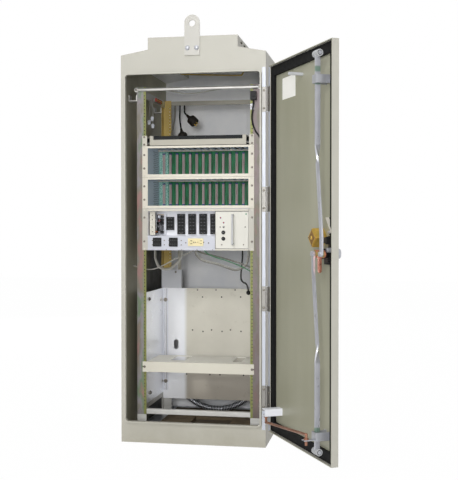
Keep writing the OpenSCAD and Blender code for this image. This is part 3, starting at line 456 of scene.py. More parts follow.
def circle(r, sides):
    return [(r * math.cos(2 * math.pi * k / sides), r * math.sin(2 * math.pi * k / sides))
            for k in range(sides)]


def ahead_at(path, i):
    return path[min(i + 1, len(path) - 1)] - path[max(i - 1, 0)]


class Piece:
    """A mesh piece put together from shaped parts in millimetres, each with its own finish."""

    def __init__(self, name, slot, body="cabinet", place=Matrix()):
        self.name, self.slot, self.body, self.place = name, slot, body, place
        self.bm = bmesh.new()
        self.finishes = []

    def paint(self, faces, finish):
        if finish not in self.finishes:
            self.finishes.append(finish)
        for face in faces:
            face.material_index = self.finishes.index(finish)
            face.smooth = True

    def rings(self, finish, rings, closed=False):
        """Skins a row of vertex rings; a ring of one vertex closes an end."""
        made = [[self.bm.verts.new(p) for p in ring] for ring in rings]
        pairs = list(zip(made, made[1:])) + ([(made[-1], made[0])] if closed else [])
        faces = []
        for a, b in pairs:
            count = max(len(a), len(b))
            for k in range(count):
                m = (k + 1) % count
                corners = [a[k % len(a)], a[m % len(a)], b[m % len(b)], b[k % len(b)]]
                corners = [c for i, c in enumerate(corners) if c not in corners[:i]]
                faces.append(self.bm.faces.new(corners))
        for ring in ([] if closed else [made[0], made[-1]]):
            if len(ring) > 2:
                faces.append(self.bm.faces.new(ring))
        self.paint(faces, finish)

    def turned(self, finish, at, axis, profile, sides=16):
        """Turns (radius, height) pairs about an axis through a point."""
        turn = Vector((0, 0, 1)).rotation_difference(Vector(axis)).to_matrix()
        self.rings(finish, [[Vector(at) + turn @ Vector((*p, h)) for p in circle(r, sides if r else 1)]
                            for r, h in profile])

    def box(self, finish, lo, hi, bevel=0.6):
        """A box with its edges rounded."""
        lo, hi = Vector(lo), Vector(hi)
        before = set(self.bm.faces)
        shape = Matrix.Translation((lo + hi) / 2) @ Matrix.Diagonal((*(hi - lo), 1))
        verts = bmesh.ops.create_cube(self.bm, size=1, matrix=shape)["verts"]
        if bevel:
            edges = list({e for v in verts for e in v.link_edges})
            bmesh.ops.bevel(self.bm, geom=edges, offset=bevel, segments=2, affect="EDGES")
        self.paint(set(self.bm.faces) - before, finish)

    def screw(self, at, axis, r, h, finish="screw"):
        """A pan head with a recess."""
        self.turned(finish, at, axis, [
            (0, 0.3 * h), (0.34 * r, 0.35 * h), (0.42 * r, 0.98 * h), (0.72 * r, 0.92 * h),
            (0.93 * r, 0.62 * h), (r, 0.25 * h), (r, 0), (0, -0.2)], 14)

    def sweep(self, finish, path, radii, sides=14, bands=()):
        """A tube along points, with a radius at each; bands gives the stretches their own finishes."""
        rings = []
        for i, p in enumerate(path):
            ahead = ahead_at(path, i).normalized()
            side = ahead.cross(Vector(INWARD)).normalized()
            up = side.cross(ahead)
            rings.append([p + c * side + s * up for c, s in circle(radii[i], sides)])
        first = len(self.bm.faces)
        self.rings(finish, rings)
        self.bm.faces.ensure_lookup_table()
        for i, band in enumerate(bands):
            self.paint([self.bm.faces[first + i * sides + k] for k in range(sides)], band)

    def done(self):
        bmesh.ops.recalc_face_normals(self.bm, faces=self.bm.faces)
        self.bm.transform(self.place @ MM)
        mesh = bpy.data.meshes.new(self.name)
        self.bm.to_mesh(mesh)
        self.bm.free()
        for finish in self.finishes:
            mesh.materials.append(M[finish])
        mesh.set_sharp_from_angle(angle=math.radians(38))
        ob = bpy.data.objects.new(self.name, mesh)
        scene.collection.objects.link(ob)
        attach(ob, self.body)
        return ob


# cords
def smooth_path(points, steps=6):
    """A curve through the points, sampled evenly between each two."""
    points = [Vector(p) for p in points]
    path = []
    for i in range(len(points) - 1):
        a, b, c, d = (points[min(max(k, 0), len(points) - 1)] for k in (i - 1, i, i + 1, i + 2))
        for k in range(steps):
            t = k / steps
            path.append(0.5 * (2 * b + (c - a) * t + (2 * a - 5 * b + 4 * c - d) * t * t
                               + (3 * b - a - 3 * c + d) * t ** 3))
    return path + [points[-1]]


def cord(name, finish, diameter, path, with_pieces=()):
    """A cable along a path in millimetres, fixed to the cabinet where it starts."""
    curve = bpy.data.curves.new(name, "CURVE")
    curve.dimensions = "3D"
    curve.bevel_depth = diameter / 2000
    curve.bevel_resolution = 3
    curve.use_fill_caps = True
    spline = curve.splines.new("POLY")
    spline.points.add(len(path) - 1)
    for point, p in zip(spline.points, path):
        point.co = (*(p / 1000), 1)
    spline.use_smooth = True
    curve.materials.append(M[finish])
    ob = bpy.data.objects.new(name, curve)
    scene.collection.objects.link(ob)
    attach(ob, "cabinet")
    return ob


RACK_UNIT = 44.45
BODY_X, HOLE_X = 219.5, 232.55
FACE_Y, PLATE_Y = -280, -284
POWER_Z, FILE_LOW_Z, FILE_UP_Z, DRAWER_Z, SHELF_Z = 801, 978.8, 1112.15, 1245.5, 280.3
CABLE_Y, CABLE_TOP = -218, 801.4
LEAD_GAP = 2.9
LEADS = (
    ("earth_lead", "green_wire", 4, [
        (18, -232, 801.4), (30, -232, 789), (54, -233, 776), (84, -233, 766), (118, -230, 756),
        (172, -224, 735), (216, -214, 712), (252, -204, 696), (284, -198, 690), (301.6, -196, 690)]),
    ("side_lead", "pale", 5, [
        (-30, -204, 801.4), (-54, -204, 789), (-86, -204, 775), (-126, -204, 756), (-172, -204, 732),
        (-212, -204, 717), (-248, -206, 716), (-280, -208, 724), (-301.6, -208, 732)]),
    ("cross_lead", "sleeve", 7, [
        (-30, -190, 801.4), (-2, -190, 789), (40, -190, 779), (90, -190, 767), (160, -190, 747),
        (212, -190, 727), (252, -192, 706), (284, -194, 697), (301.6, -194, 696)]),
    ("roof_lead", "pale", 4.5, [
        (-255.8, -234, 1488), (-225, -234, 1490), (-149, -234, 1488), (-68, -234, 1472), (-11, -234, 1473),
        (60, -234, 1483), (128, -234, 1490), (210, -234, 1491), (255.8, -234, 1488)]),
    ("feed_lead", "black", 7, [
        (156, -60, 801.4), (156, -60, 770), (153, -60, 730), (148, -52, 690), (146, -30, 664),
        (148, 10, 650), (151, 60, 642), (152, 104, 626), (152, 126, 606), (152, 134.6, 594)]),
    ("rear_lead", "sleeve", 9, [
        (-205, 168, 1474.6), (-205, 168, 1450), (-208, 166, 1410), (-216, 160, 1360), (-221, 150, 1300),
        (-220, 120, 1200), (-214, 60, 1110), (-205, 0, 1035), (-200, -34, 996), (-200, -40, 978.6)]),
    ("switch_lead", "black", 7, [
        (240, -291, 1429.7), (240, -291, 1408), (236, -289, 1384), (233, -287, 1356), (238, -286, 1326),
        (249, -286, 1300), (262, -286, 1282), (272, -280, 1264), (274, -268, 1248), (265.2, -258, 1236)]),
)


def route(places):
    return smooth_path([(x * BODY_X, CABLE_Y + y, CABLE_TOP - z) for x, y, z in places])


def beside(path, off):
    """The path moved sideways in its own upright plane."""
    moved = []
    for i, p in enumerate(path):
        ahead = ahead_at(path, i)
        if i in (0, len(path) - 1):
            ahead = Vector((0, 0, -1 if i == 0 else 1))
        moved.append(p + off * ahead.cross(Vector(INWARD)).normalized())
    return moved


def cables():
    left = route([(-0.383, 0, 0), (-0.392, 0, 22), (-0.456, 0, 52), (-0.638, 4, 82), (-0.838, 10, 76),
                  (-0.929, 16, 40), (-0.938, 18, 18), (-0.938, 18, 0)])
    right = route([(-0.091, 0, 0), (-0.082, 0, 20), (0.046, 0, 44), (0.364, 4, 62), (0.683, 8, 84),
                   (0.884, 12, 64), (0.938, 14, 22), (0.938, 14, 0)])
    for side, path in (("left", left), ("right", right)):
        for mark, finish, off in (("a", "sleeve", -LEAD_GAP), ("b", "pale", LEAD_GAP)):
            ob = cord(f"lead_{side}_{mark}", finish, 5.2, beside(path, off))
            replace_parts(ob, f"cable_{side}")
    for name, finish, diameter, points in LEADS:
        cord(name, finish, diameter, smooth_path(points))
    plug_lead("jumper_upper", [(-160, 170, 1474.6), (-160, 169, 1456), (-157, 158, 1440), (-148, 142, 1430),
                               (-136, 128, 1420)], (0.72, -0.12, -0.68))
    plug_lead("jumper_lower", [(-182, 170, 1474.6), (-182, 169, 1448), (-181, 160, 1420), (-176, 146, 1394),
                               (-170, 134, 1372), (-166, 126, 1356)], (0.25, -0.1, -0.96))
    for k, (y, low, sway) in enumerate([(-118, 1374, -3), (-98, 1392, 5), (-76, 1362, 2)]):
        tail = connector(f"spare_plug_{k}", (-250 + sway, y - 4, low))
        cord(f"spare_lead_{k}", "pale", 3.2, smooth_path([
            (-250, y, 1464.6), (-250, y, 1446), (-248 + sway, y - 2, 1424), (-248 + sway, y - 4, low + 16),
            (-250 + sway, y - 4, low)]), [tail])


def plug_lead(name, points, ahead):
    """A hanging lead with a moulded plug on its end."""
    ahead = Vector(ahead).normalized()
    end = Vector(points[-1])
    piece = Piece(name + "_plug", "black_plastic")
    piece.turned("plug", end, ahead, [
        (0, -4), (5.4, -4), (6, 2), (8, 10), (12, 15), (19, 19), (22, 23), (22.5, 28), (22.5, 50), (21, 53),
        (0, 53)], 20)
    side = ahead.cross(Vector(INWARD)).normalized()
    for off in (-6, 6):
        piece.turned("brass", end + ahead * 52 + side * off, ahead,
                     [(0, 0), (2.2, 0), (2.2, 12), (1.2, 14), (0, 14)], 8)
    cord(name + "_lead", "black", 7.5, smooth_path(points), with_pieces=[piece.done()])


def connector(name, top):
    """A small white nylon connector below its lead."""
    x, y, z = top
    piece = Piece(name, "white_sheet")
    piece.box("white", (x - 6, y - 4, z - 18), (x + 6, y + 4, z), 0.8)
    piece.box("white", (x - 7.2, y - 5, z - 9), (x + 7.2, y + 5, z - 5), 0.5)
    for k in (-3, 0, 3):
        piece.box("chrome", (x + k - 0.8, y - 1, z - 21), (x + k + 0.8, y + 1, z - 18), 0.2)
    return piece.done()


def conduit():
    """Corrugated tube on the rear of the lower panels, held by two saddles."""
    bend, low, tube, pitch, sweep, drop = 217, 45, 14, 7.6, 150, Vector((0, -14, 0))
    centre = Vector((0, 151.3, low + bend))
    ribs = round(math.radians(sweep) * bend / pitch)
    rib = ((0, 11.4), (0.3, 11.5), (0.45, 13.8), (0.65, 14), (0.85, 13.6))
    path, radii = [], []
    for k in range(ribs):
        for share, r in rib:
            a = math.radians(-sweep / 2 + sweep * (k + share) / ribs)
            path.append(centre + bend * Vector((math.sin(a), 0, -math.cos(a))))
            radii.append(r)
    piece = Piece("conduit_tube", "black_plastic")
    # Painted highlight: the rib crests are light metal on the black tube, with a real metal shine.
    bands = ["black" if k % len(rib) in (0, 4) else "conduit" for k in range(len(path) - 1)]
    piece.sweep("conduit", path, radii, 18, bands)
    ob = piece.done()
    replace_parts(ob, "conduit")
    clips = Piece("conduit_clips", "zinc_plate")
    strap = ((-7, 0.3), (7, 0.3), (7, 2), (-7, 2))
    for a in (math.radians(-70), math.radians(70)):
        mid = centre + bend * Vector((math.sin(a), 0, -math.cos(a)))
        along = Vector((math.cos(a), 0, math.sin(a)))
        side = along.cross(Vector(INWARD))
        rings = []
        for t in range(13):
            w = math.radians(-90 + 180 * t / 12)
            out = math.sin(w) * side + math.cos(w) * Vector(INWARD)
            rings.append([mid + s * along + (tube + r) * out for s, r in strap])
        clips.rings("zinc", [[p + drop for p in rings[0]]] + rings + [[p + drop for p in rings[-1]]])
    saddle = clips.done()


# equipment in the rack
def rack_screws():
    """Screws through the ears of the rack units, and plugs in their spare holes."""
    plug_inset, screw_inset = 6.35, 38.1
    plugs = Piece("ear_plugs", "unit_paint")
    screws = Piece("rack_screws", "zinc_plate")
    heights = []
    for z, units in ((POWER_Z, 4), (FILE_LOW_Z, 3), (FILE_UP_Z, 3)):
        top = z + units * RACK_UNIT
        heights += [z + screw_inset, top - screw_inset]
        for side in SIDES:
            for end in (z + plug_inset, top - plug_inset):
                plugs.turned("ear", (side * HOLE_X, FACE_Y, end), FRONT, [
                    (0, 0.3), (3.6, 0.3), (4, 0.1), (4, 0), (3.3, 0), (3.3, -1.6), (0, -1.6)], 18)
    plugs.done()
    heights += [DRAWER_Z + plug_inset, DRAWER_Z + screw_inset]
    for side in SIDES:
        for z in heights:
            screws.screw((side * HOLE_X, FACE_Y, z), FRONT, 4.6, 2.6)
        screws.screw((side * HOLE_X, FACE_Y, SHELF_Z + 21.8), FRONT, 5.2, 2.6)
    screws.done()


def module_face():
    """Lamps, switch and fuse holders on the power module."""
    y = PLATE_Y
    piece = Piece("module_controls", "black_plastic")
    lens = [(0, 3.4), (1.6, 3), (2.6, 1.8), (3, 0.4), (3, 0), (0, -0.2)]
    ring = [(0, 0.1), (3.1, 0.2), (3.3, 1), (4.3, 0.9), (4.6, 0), (0, -0.2)]
    for x, z in ((99.8, 939.2), (113, 918.8)):
        piece.turned("red_lens", (x, y, z), FRONT, lens)
        piece.turned("zinc", (x, y, z), FRONT, ring)
    piece.turned("green_lens", (208.3, y, 954.8), FRONT, lens)
    switch = (113, 900.4)
    piece.turned("black", (switch[0], y, switch[1]), FRONT, [
        (0, 3), (2.8, 3), (3.6, 2.2), (3.8, 0), (0, -0.2)], 18)
    piece.turned("chrome", (switch[0], y - 2, switch[1]), (0.25, -1, 0.5), [
        (0, 8.5), (1.2, 8.2), (1.7, 6), (1, 0), (0, 0)], 10)
    for z in (877.5, 851.2):
        piece.turned("black", (111.8, y, z), FRONT, [
            (0, 6.4), (1.6, 6.4), (2.2, 8), (4.2, 8.6), (5.4, 7.8), (5.9, 4), (6, 2.4), (8.2, 2),
            (8.4, 0), (0, -0.2)], 20)
        piece.box("zinc", (109.9, y - 8.9, z - 0.6), (113.7, y - 8, z + 0.6), 0.2)
    for x, z in ((98, 900.4), (204.6, 900.5), (104.6, 826), (197.6, 826.3)):
        piece.screw((x, y, z), FRONT, 2.8, 1.8)
    piece.done()


def outlets():
    """Square connectors with two rows of contact slots in place of the plain sockets."""
    piece = Piece("outlet_connectors", "black_plastic")
    y, z, half, rim, pitch = PLATE_Y, 836, 19, 4, 8
    for x in (-176, -105):
        piece.box("black", (x - half, y, z - half), (x + half, y + rim, z + half), 1)
        piece.box("black", (x - 15, y + rim, z - 15), (x + 15, y + 28, z + 15))
        for mid in (z - 8.5, z + 8.5):
            for k in range(4):
                at = x + (k - 1.5) * pitch
                # Dark contact recesses: painted shade.
                piece.box("hole", (at - 2.2, y - 0.25, mid - 3.6), (at + 2.2, y + 0.4, mid + 3.6), 0.15)
                piece.box("grey", (at - 1.5, y - 0.5, mid - 0.6), (at + 1.5, y - 0.2, mid + 0.6), 0.1)
    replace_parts(piece.done(), "power_outlets")
    screws = Piece("outlet_screws", "zinc_plate")
    for x in (-197.4, -144.8, -124.4, -71):
        for level in (843, 824.2):
            screws.screw((x, FACE_Y, level), FRONT, 2.6, 1.6)
    for x in (-50.9, 47.4):
        screws.screw((x, FACE_Y, 833.2), FRONT, 2.8, 1.8)
    for x in (-136.2, -70, -2.6, 64.5):
        screws.screw((x, FACE_Y, 804.4), FRONT, 2.2, 1.4)
    screws.screw((-8, y, z), FRONT, 2.4, 1.4)
    screws.done()
    slots = Piece("duplex_slots", "black_plastic")
    # Dark slots and earth holes: painted shade.
    for x in (-27, 16):
        for level in (842, 829.6):
            slots.box("hole", (x - 3.5, y - 0.2, level - 1.3), (x + 3.5, y + 0.6, level + 1.3), 0.2)
        slots.turned("hole", (x + 11.5, y, 835.8), FRONT, [
            (0, 0.2), (2.2, 0.2), (2.4, 0), (0, -0.3)], 14)
    slots.done()


def relay_contacts():
    """Contacts in the relay sockets; the first socket is shorter."""
    pins = Piece("relay_contacts", "black_plastic")
    bay_left, bay_pitch = -217.5, 293 / 6
    for i, (low, rows, tall) in enumerate([(887, 4, 57)] + [(869, 6, 88)] * 4):
        x = bay_left + (1.5 + i) * bay_pitch
        step = tall / rows
        for k in range(rows):
            for side in SIDES:
                at = x + side * 6.64
                z = low + (k + 0.5) * step
                pins.box("grey", (at - 3, -181.6, z - 0.8), (at + 3, -177.2, z + 0.8), 0.2)
        for side in SIDES:
            pins.screw((x, -182, low + tall / 2 + side * (tall / 2 - 4)), FRONT, 2.2, 1.4)
    pins.done()


def chassis_edges():
    """The gap round the power module, painted dark as shade, and lips along the chassis."""
    left, right = 76.2, 218.4
    gap = Piece("module_gap", "black_plastic")
    for lo, hi in (((left, 808), (78, 968)), ((left, 965.4), (right, 967.8)),
                   ((left, 808.2), (right, 810))):
        gap.box("hole", (lo[0], -284.9, lo[1]), (hi[0], -283.6, hi[1]), 0.2)
    gap.done()
    lip = Piece("chassis_lips", "unit_paint")
    for start, low, high in ((-217.4, 967.6, 977), (left, 801.6, 808.4)):
        lip.box("ear", (start, -286, low), (right, -283.6, high), 0.5)
        lip.box("ear", (start, -284.4, low + 0.8), (right, -279, low + 2.4), 0.3)
    lip.done()


def relay_board():
    """The open relay and its parts at the left end of the power bay."""
    piece = Piece("relay_board", "black_plastic")
    back = -178
    face = back - 3
    piece.box("white", (-205.6, face, 868), (-162.2, back + 9.6, 956), 0.5)
    piece.box("ear", (-213.4, -262, 866), (-190, -258, 966))
    piece.box("ear", (-213.4, -259, 870), (-210, back, 962))
    for z in (880, 900, 932, 950):
        piece.screw((-202, -262, z), FRONT, 2.4, 1.6)
    parts = [
        (-198, 872, 11, 14, 30, "black"), (-186, 872, 8, 10, 44, "grey"),
        (-178, 872, 7, 12, 26, "black"), (-198, 889, 7, 18, 40, "pale"),
        (-190, 886, 10, 16, 52, "black"), (-179, 887, 8, 20, 48, "grey"),
        (-198, 910, 9, 12, 34, "black"), (-188, 905, 8, 9, 30, "board_dark"),
        (-180, 910, 9, 12, 56, "black"), (-198, 925, 12, 14, 50, "grey"),
        (-185, 924, 5, 10, 40, "red"), (-179, 925, 8, 12, 36, "black"),
        (-198, 941, 10, 12, 28, "black"), (-187, 937, 8, 13, 46, "white"), (-178, 940, 7, 11, 30, "black"),
    ]
    for x, z, w, h, d, finish in parts:
        piece.box(finish, (x, face - d, z), (x + w, face, z + h), 1)
    for x, z, finish in ((-194, 904, "black"), (-182, 902, "grey"), (-174, 921, "black"),
                         (-195, 880, "orange"), (-183, 935, "black")):
        piece.turned(finish, (x, face, z), FRONT, [
            (0, 58), (2.6, 58), (3.4, 57), (3.4, 50), (3.1, 49.4), (3.4, 48.8), (3.4, 0.5), (3, 0),
            (0, 0)], 14)
    for k in range(5):
        piece.screw((-196 + 5.2 * k, face, 954), FRONT, 2, 1.6, "brass")
    for k, finish in enumerate(("white", "black", "grey")):
        x = -197 + 8 * k
        path = smooth_path([
            (x, back - 5, 950), (x + 1, back - 40, 946), (x + 4, back - 58, 930 - 6 * k),
            (x + 6, back - 59, 906), (x + 3, back - 50, 884), (x + 2, back - 5, 874)])
        piece.sweep(finish, path, [1.2] * len(path), 8)
    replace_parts(piece.done(), "power_relay")


def card_files():
    """Edge sockets in place of the plain ones; vent slots and perforations round them are painted shade."""
    cards, card_pitch, contacts, socket_half = 14, 30, 18, 46
    section = [(-4.5, -78), (-4.5, -91.4), (-3.9, -92), (-1.4, -92), (-1.4, -83), (1.4, -83), (1.4, -92),
               (3.9, -92), (4.5, -91.4), (4.5, -78)]
    vents = Piece("file_vents", "unit_paint")
    holes = Piece("file_side_holes", "unit_paint")
    lips = Piece("file_rear_lips", "unit_paint")
    for base, level in ((FILE_LOW_Z, "lower"), (FILE_UP_Z, "upper")):
        sockets = Piece(f"edge_sockets_{level}", "socket_plastic")
        under = base + 3 * RACK_UNIT - 0.4 - 2
        for i in range(cards + 1):
            x = (i - cards / 2) * card_pitch
            w = 11 if 0 < i < cards else 4
            # Dark strips under the top plate: painted shadow of the vent slots.
            vents.box("hole", (x - w, -274, under - 0.5), (x + w, -106, under + 0.05), 0.2)
        # Dark discs on the side wall: painted shade in the perforations.
        for row in range(13):
            for col in range(7):
                at = (-217.5, -180 + 13 * col + (6.5 if row % 2 else 0), base + 18 + 8.2 * row)
                holes.turned("hole", at, RIGHT, [(0, 0.15), (2.4, 0.15), (2.7, 0), (0, -0.1)], 10)
        mid = base + 1.5 * RACK_UNIT
        for i in range(cards):
            x = (i - (cards - 1) / 2) * card_pitch
            sockets.rings("socket", [[Vector((x + a, y, mid + z)) for a, y in section]
                                     for z in (-socket_half, 0, socket_half)])
            for side in SIDES:
                z = mid + side * socket_half
                sockets.box("blue", (x - 5.2, -92.6, z - 3), (x + 5.2, -78, z + 3), 0.7)
            for k in range(contacts):
                z = mid - 39 + k * 78 / (contacts - 1)
                for at in (x - 1, x + 1):
                    sockets.box("copper", (at - 0.35, -91, z - 1.2), (at + 0.35, -83.2, z + 1.2), 0)
        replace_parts(sockets.done(), f"card_sockets_{level}")
        lips.box("ear", (-217.3, -108, under - 9), (217.3, -104, under - 0.2), 0.4)
    for piece in (vents, holes, lips):
        piece.done()


# bays of the cabinet
def lower_bay():
    """Fixings and holes on the lower panels, the strip in their corner, and what lies behind and below."""
    panel_y, strip_y = 135, 128
    dots = Piece("panel_holes", "white_sheet")
    spots = [(-90, 604), (-1.5, 605), (89, 606), (-66, 571), (25, 572), (115, 573.5), (-114, 415),
             (-64, 409), (-23, 417), (27, 411), (67, 419), (117, 413), (-31, 206.5), (17, 207), (129, 208),
             (-143, 206.6)]
    # Dark discs: painted shade in the holes.
    for x, z in spots:
        dots.turned("hole", (x, panel_y, z), FRONT, [
            (0, 0.1), (2.6, 0.1), (2.8, 0.4), (3.4, 0.3), (3.5, 0), (0, -0.1)], 14)
    dots.done()
    strip = Piece("panel_corner_strip", "white_sheet")
    section = [(-253.9, 134.9), (-253.9, 132), (-248, 132), (-246.6, strip_y), (-239.4, strip_y), (-238, 132),
               (-232, 132), (-232, 134.9)]
    strip.rings("white", [[Vector((x, y, z)) for x, y in section] for z in (130, 370, 610)])
    # Dark lines in the channel's creases: painted shade.
    for x in (-247.2, -239.6):
        strip.box("screw", (x, 127.4, 131), (x + 0.9, 129, 609), 0.2)
    strip.done()
    bolts = Piece("panel_bolts", "zinc_plate")
    washer = [(0, 7.5), (4.6, 7.5), (5.6, 6.4), (5.6, 2), (9, 1.8), (9.2, 0), (0, -0.2)]
    for y, z in ((-123.9, 579.8), (-109.7, 159.5)):
        bolts.turned("screw", (-254, y, z), RIGHT, washer, 18)
    for z in (556.7, 172.2):
        bolts.turned("screw", (-243, strip_y, z), FRONT, washer, 18)
    bolts.done()
    board = Piece("base_board", "zinc_plate")
    for lo, hi in (((-230, -306), (230, -204)), ((-230, -202), (230, -100)), ((-230, -98), (-90, 98)),
                   ((90, -98), (230, 98)), ((-230, 100), (230, 202)), ((-230, 204), (230, 306))):
        board.box("board", (*lo, 0.4), (*hi, 14), 1.2)
    board.done()
    gland = Piece("feed_gland", "black_plastic")
    gland.turned("black", (152, panel_y, 594), FRONT, [
        (0, 13), (4.2, 13), (5.6, 12), (7.4, 6), (9.2, 5.4), (9.2, 0.6), (10.5, 0.4), (10.5, 0),
        (0, -0.2)], 18)
    gland.done()
    plate = Piece("rear_plate", "housing_paint")
    plate.box("plate", (-264.6, 138, 575), (-168, 139.8, 698), 0.4)
    plate.box("plate", (-169.8, 138.4, 575), (-168, 170, 698), 0.4)
    plate.box("rear_tie", (-186, 138.4, 690), (-170, 139.8, 880), 0.4)
    plate.screw((-196, 138, 687), FRONT, 5, 3)
    plate.screw((-178, 138.4, 705), FRONT, 4, 2.4)
    plate.done()


def rack_cage():
    """The round front tie, dark strips behind the rail holes and a black cover on the drawer, as painted
    shade.
    """
    bar = Piece("tie_bar", "cage_steel")
    z, end_x = 1484.75, 265
    taper = [(-262, 6.2), (-250, 6.4), (-244, 6.6), (-236, 7), (0, 7), (236, 7), (244, 6.6), (250, 6.4),
             (262, 6.2)]
    bar.sweep("cage", [Vector((x, -284.6, z)) for x, _ in taper], [r for _, r in taper], 18)
    for side in SIDES:
        bar.turned("cage", (side * end_x, -278, z), FRONT, [
            (0, 8.4), (8.6, 8.4), (9.6, 7.4), (9.6, 0.4), (9, 0), (0, 0)], 22)
        bar.screw((side * end_x, -286.4, z), FRONT, 5, 3.2)
    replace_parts(bar.done(), "tie_top_front")
    # Dark strips behind the rail holes: painted shade seen through the holes.
    nuts = Piece("rail_hole_shade_strips", "black_steel")
    for lo, hi in ((-239, -226.2), (226.2, 239)):
        nuts.box("hole", (lo, -274.9, 128), (hi, -273.3, 1462), 0.3)
    nuts.done()
    # A black cover on the drawer: painted shade standing in for its shadowed inside.
    lid = Piece("drawer_lid", "black_plastic", "drawer")
    lid.box("lid", (-192, -277.6, 1271.6), (192, -275.2, 1287.4))
    lid.box("lid", (-192, -277.6, 1285.2), (192, -96, 1287.4))
    for x in (-150, 0, 150):
        lid.box("lid", (x - 14, -276, 1272.4), (x + 14, -273.6, 1285.4), 0.5)
    lid.done()


def upper_bay():
    """A terminal strip, the wire bail under the fan and a cable clamp."""
    strip = Piece("terminal_strip", "black_plastic")
    strip.box("pale", (-256, -34, 1467), (-250, 74, 1486))
    for k in range(9):
        y = -28 + 12 * k
        strip.box(("red", "orange", "black")[k % 3], (-250, y - 4.6, 1469), (-243, y + 4.6, 1484), 0.8)
        strip.screw((-243, y, 1476.5), RIGHT, 2.4, 1.4, "brass")
    strip.done()
    bail = Piece("fan_bail", "rail_plating")
    bends = [(-122, 1640.2), (-120, 1604), (-108, 1574), (-70, 1567), (50, 1561), (152, 1556.5), (170, 1561),
             (177, 1580), (178, 1610), (178, 1640.2)]
    y = -150
    path = smooth_path([(x, y, z) for x, z in bends])
    bail.sweep("yellow_zinc", path, [3.4] * len(path), 12)
    for x in (-122, 178):
        bail.turned("screw", (x, y, 1640), (0, 0, -1), [
            (0, 6), (5.2, 6), (6, 5), (6, 1.6), (8.4, 1.4), (8.4, 0), (0, 0)], 6)
    bail.done()
    clamp = Piece("cable_clamp", "white_sheet")
    clamp.box("white", (226, -281.6, 1391), (243, -278, 1416), 1.2)
    clamp.turned("white", (230, -281.6, 1403.5), FRONT, [(0, 6), (5, 6), (6, 5), (6.4, 0), (0, -0.2)])
    clamp.screw((230, -287.6, 1403.5), FRONT, 3.2, 1.6)
    clamp.done()


# door and hinges; on the door x runs from the hinge, to minus, and y inward from the plane of its edge
HINGE_Z = [203.5 + 405 * i for i in range(4)]
INNER_Y = -24
ROD_X = -541.5


def hinge_screws():
    """Two screws in each leaf, staggered so that they pass each other with the door shut."""
    for body, place, y, axis, apart in (("cabinet", Matrix.Translation(HINGE), 1, FRONT, 36),
                                        ("door", DOOR, -3, INWARD, 24)):
        piece = Piece(f"hinge_screws_{body}", "zinc_plate", body, place)
        for z in HINGE_Z:
            for off in (-apart, apart):
                piece.screw((-13, y, z + off), axis, 4.6, 2.8)
        piece.done()


def hinge_bars():
    """Bright strips along the hinge line, between the leaves."""
    stops = [73] + [z + off for z in HINGE_Z for off in (-51, 51)] + [1549]
    for body, place, low, high in (("cabinet", Matrix.Translation(HINGE), 1.4, 4),
                                   ("door", DOOR, -6, -3.6)):
        piece = Piece(f"hinge_bars_{body}", "hinge_paint", body, place)
        for z0, z1 in zip(stops[::2], stops[1::2]):
            piece.box("bright", (-20, low, z0), (-6.5, high, z1), 0.5)
        piece.done()


def door_rivets():
    """Rivets along the top of the inner panel."""
    piece = Piece("door_rivets", "zinc_plate", "door", DOOR)
    for x in (-93, -164, -226, -369, -530):
        piece.turned("door_rivet", (x, INNER_Y, 1503), INWARD, [
            (0, 2.2), (2.4, 1.9), (3.8, 1), (4.4, 0), (0, -0.2)], 14)
    piece.done()


def latch_details():
    """The lock's face plate and cylinder, the case beside the rods, and nuts on the cam's pins."""
    turn = Matrix.Rotation(math.radians(45), 4, "Y")
    lock = Piece("lock_face", "lock_brass", "door", DOOR @ Matrix.Translation((-0.4955, 0, 0.864)) @ turn)
    lock.box("lock_dark", (-18, 21.8, -18), (18, 23, 18), 0.5)
    for side in SIDES:
        for end in SIDES:
            lock.screw((side * 19.6, 22, end * 19.6), INWARD, 2.2, 1.4)
    lock.turned("brass", (0, 23, 0), INWARD, [
        (0, 2.6), (5.6, 2.6), (6.8, 2), (7.4, 0.4), (7.4, 0), (0, -0.4)], 20)
    # Dark keyway: painted shade.
    lock.box("hole", (-0.9, 25.2, -4.2), (0.9, 25.8, 4.2), 0.2)
    lock.done()
    gear = Piece("latch_case", "black_steel", "door", DOOR)
    gear.box("black_steel", (-586, INNER_Y, 842), (-574, 5, 869), 1.2)
    gear.box("black_steel", (-574, -18.2, 846), (-546, 2, 866), 1.2)
    for low in (781, 790):
        gear.box("black_steel", (-588, INNER_Y, low), (-572, 3, low + 5), 1)
    gear.turned("zinc", (-581, INNER_Y, 822), INWARD, [
        (0, 27), (7.4, 27), (8.4, 26), (8.4, 3), (10.5, 2.6), (10.5, 0), (0, 0)], 20)
    plate = [(-549, 936), (-592, 884), (-592, 874), (-549, 874)]
    fold = [(-549, 936), (-592, 884), (-592, 880.4), (-549, 932.4)]
    for finish, outline, span in (("black_steel", plate, (INNER_Y, -20.5)), ("ear", fold, (-21, -7))):
        gear.rings(finish, [[Vector((x, y, z)) for x, z in outline] for y in span])
    for x in (-558, -574):
        gear.turned("zinc", (x, -20.5, 884), INWARD, [
            (0, 9), (3.4, 9), (4.2, 8), (4.2, 4), (7, 3.6), (7, 0), (0, 0)], 6)
    gear.done()
    cam_y, cam_z, throw = 14, 808, 34
    nuts = Piece("cam_nuts", "copper_plating", "latch", DOOR)
    for x in (ROD_X + throw, ROD_X - throw):
        nuts.turned("yellow_zinc", (x, cam_y, cam_z), INWARD, [
            (0, 1.6), (12, 1.6), (12.6, 1), (12.6, 0), (0, 0)], 24)
    nuts.turned("yellow_zinc", (ROD_X, cam_y, cam_z), INWARD, [
        (0, 7), (6.8, 7), (8, 6), (8, 1.6), (11, 1.4), (11, 0), (0, 0)], 6)
    nuts.done()


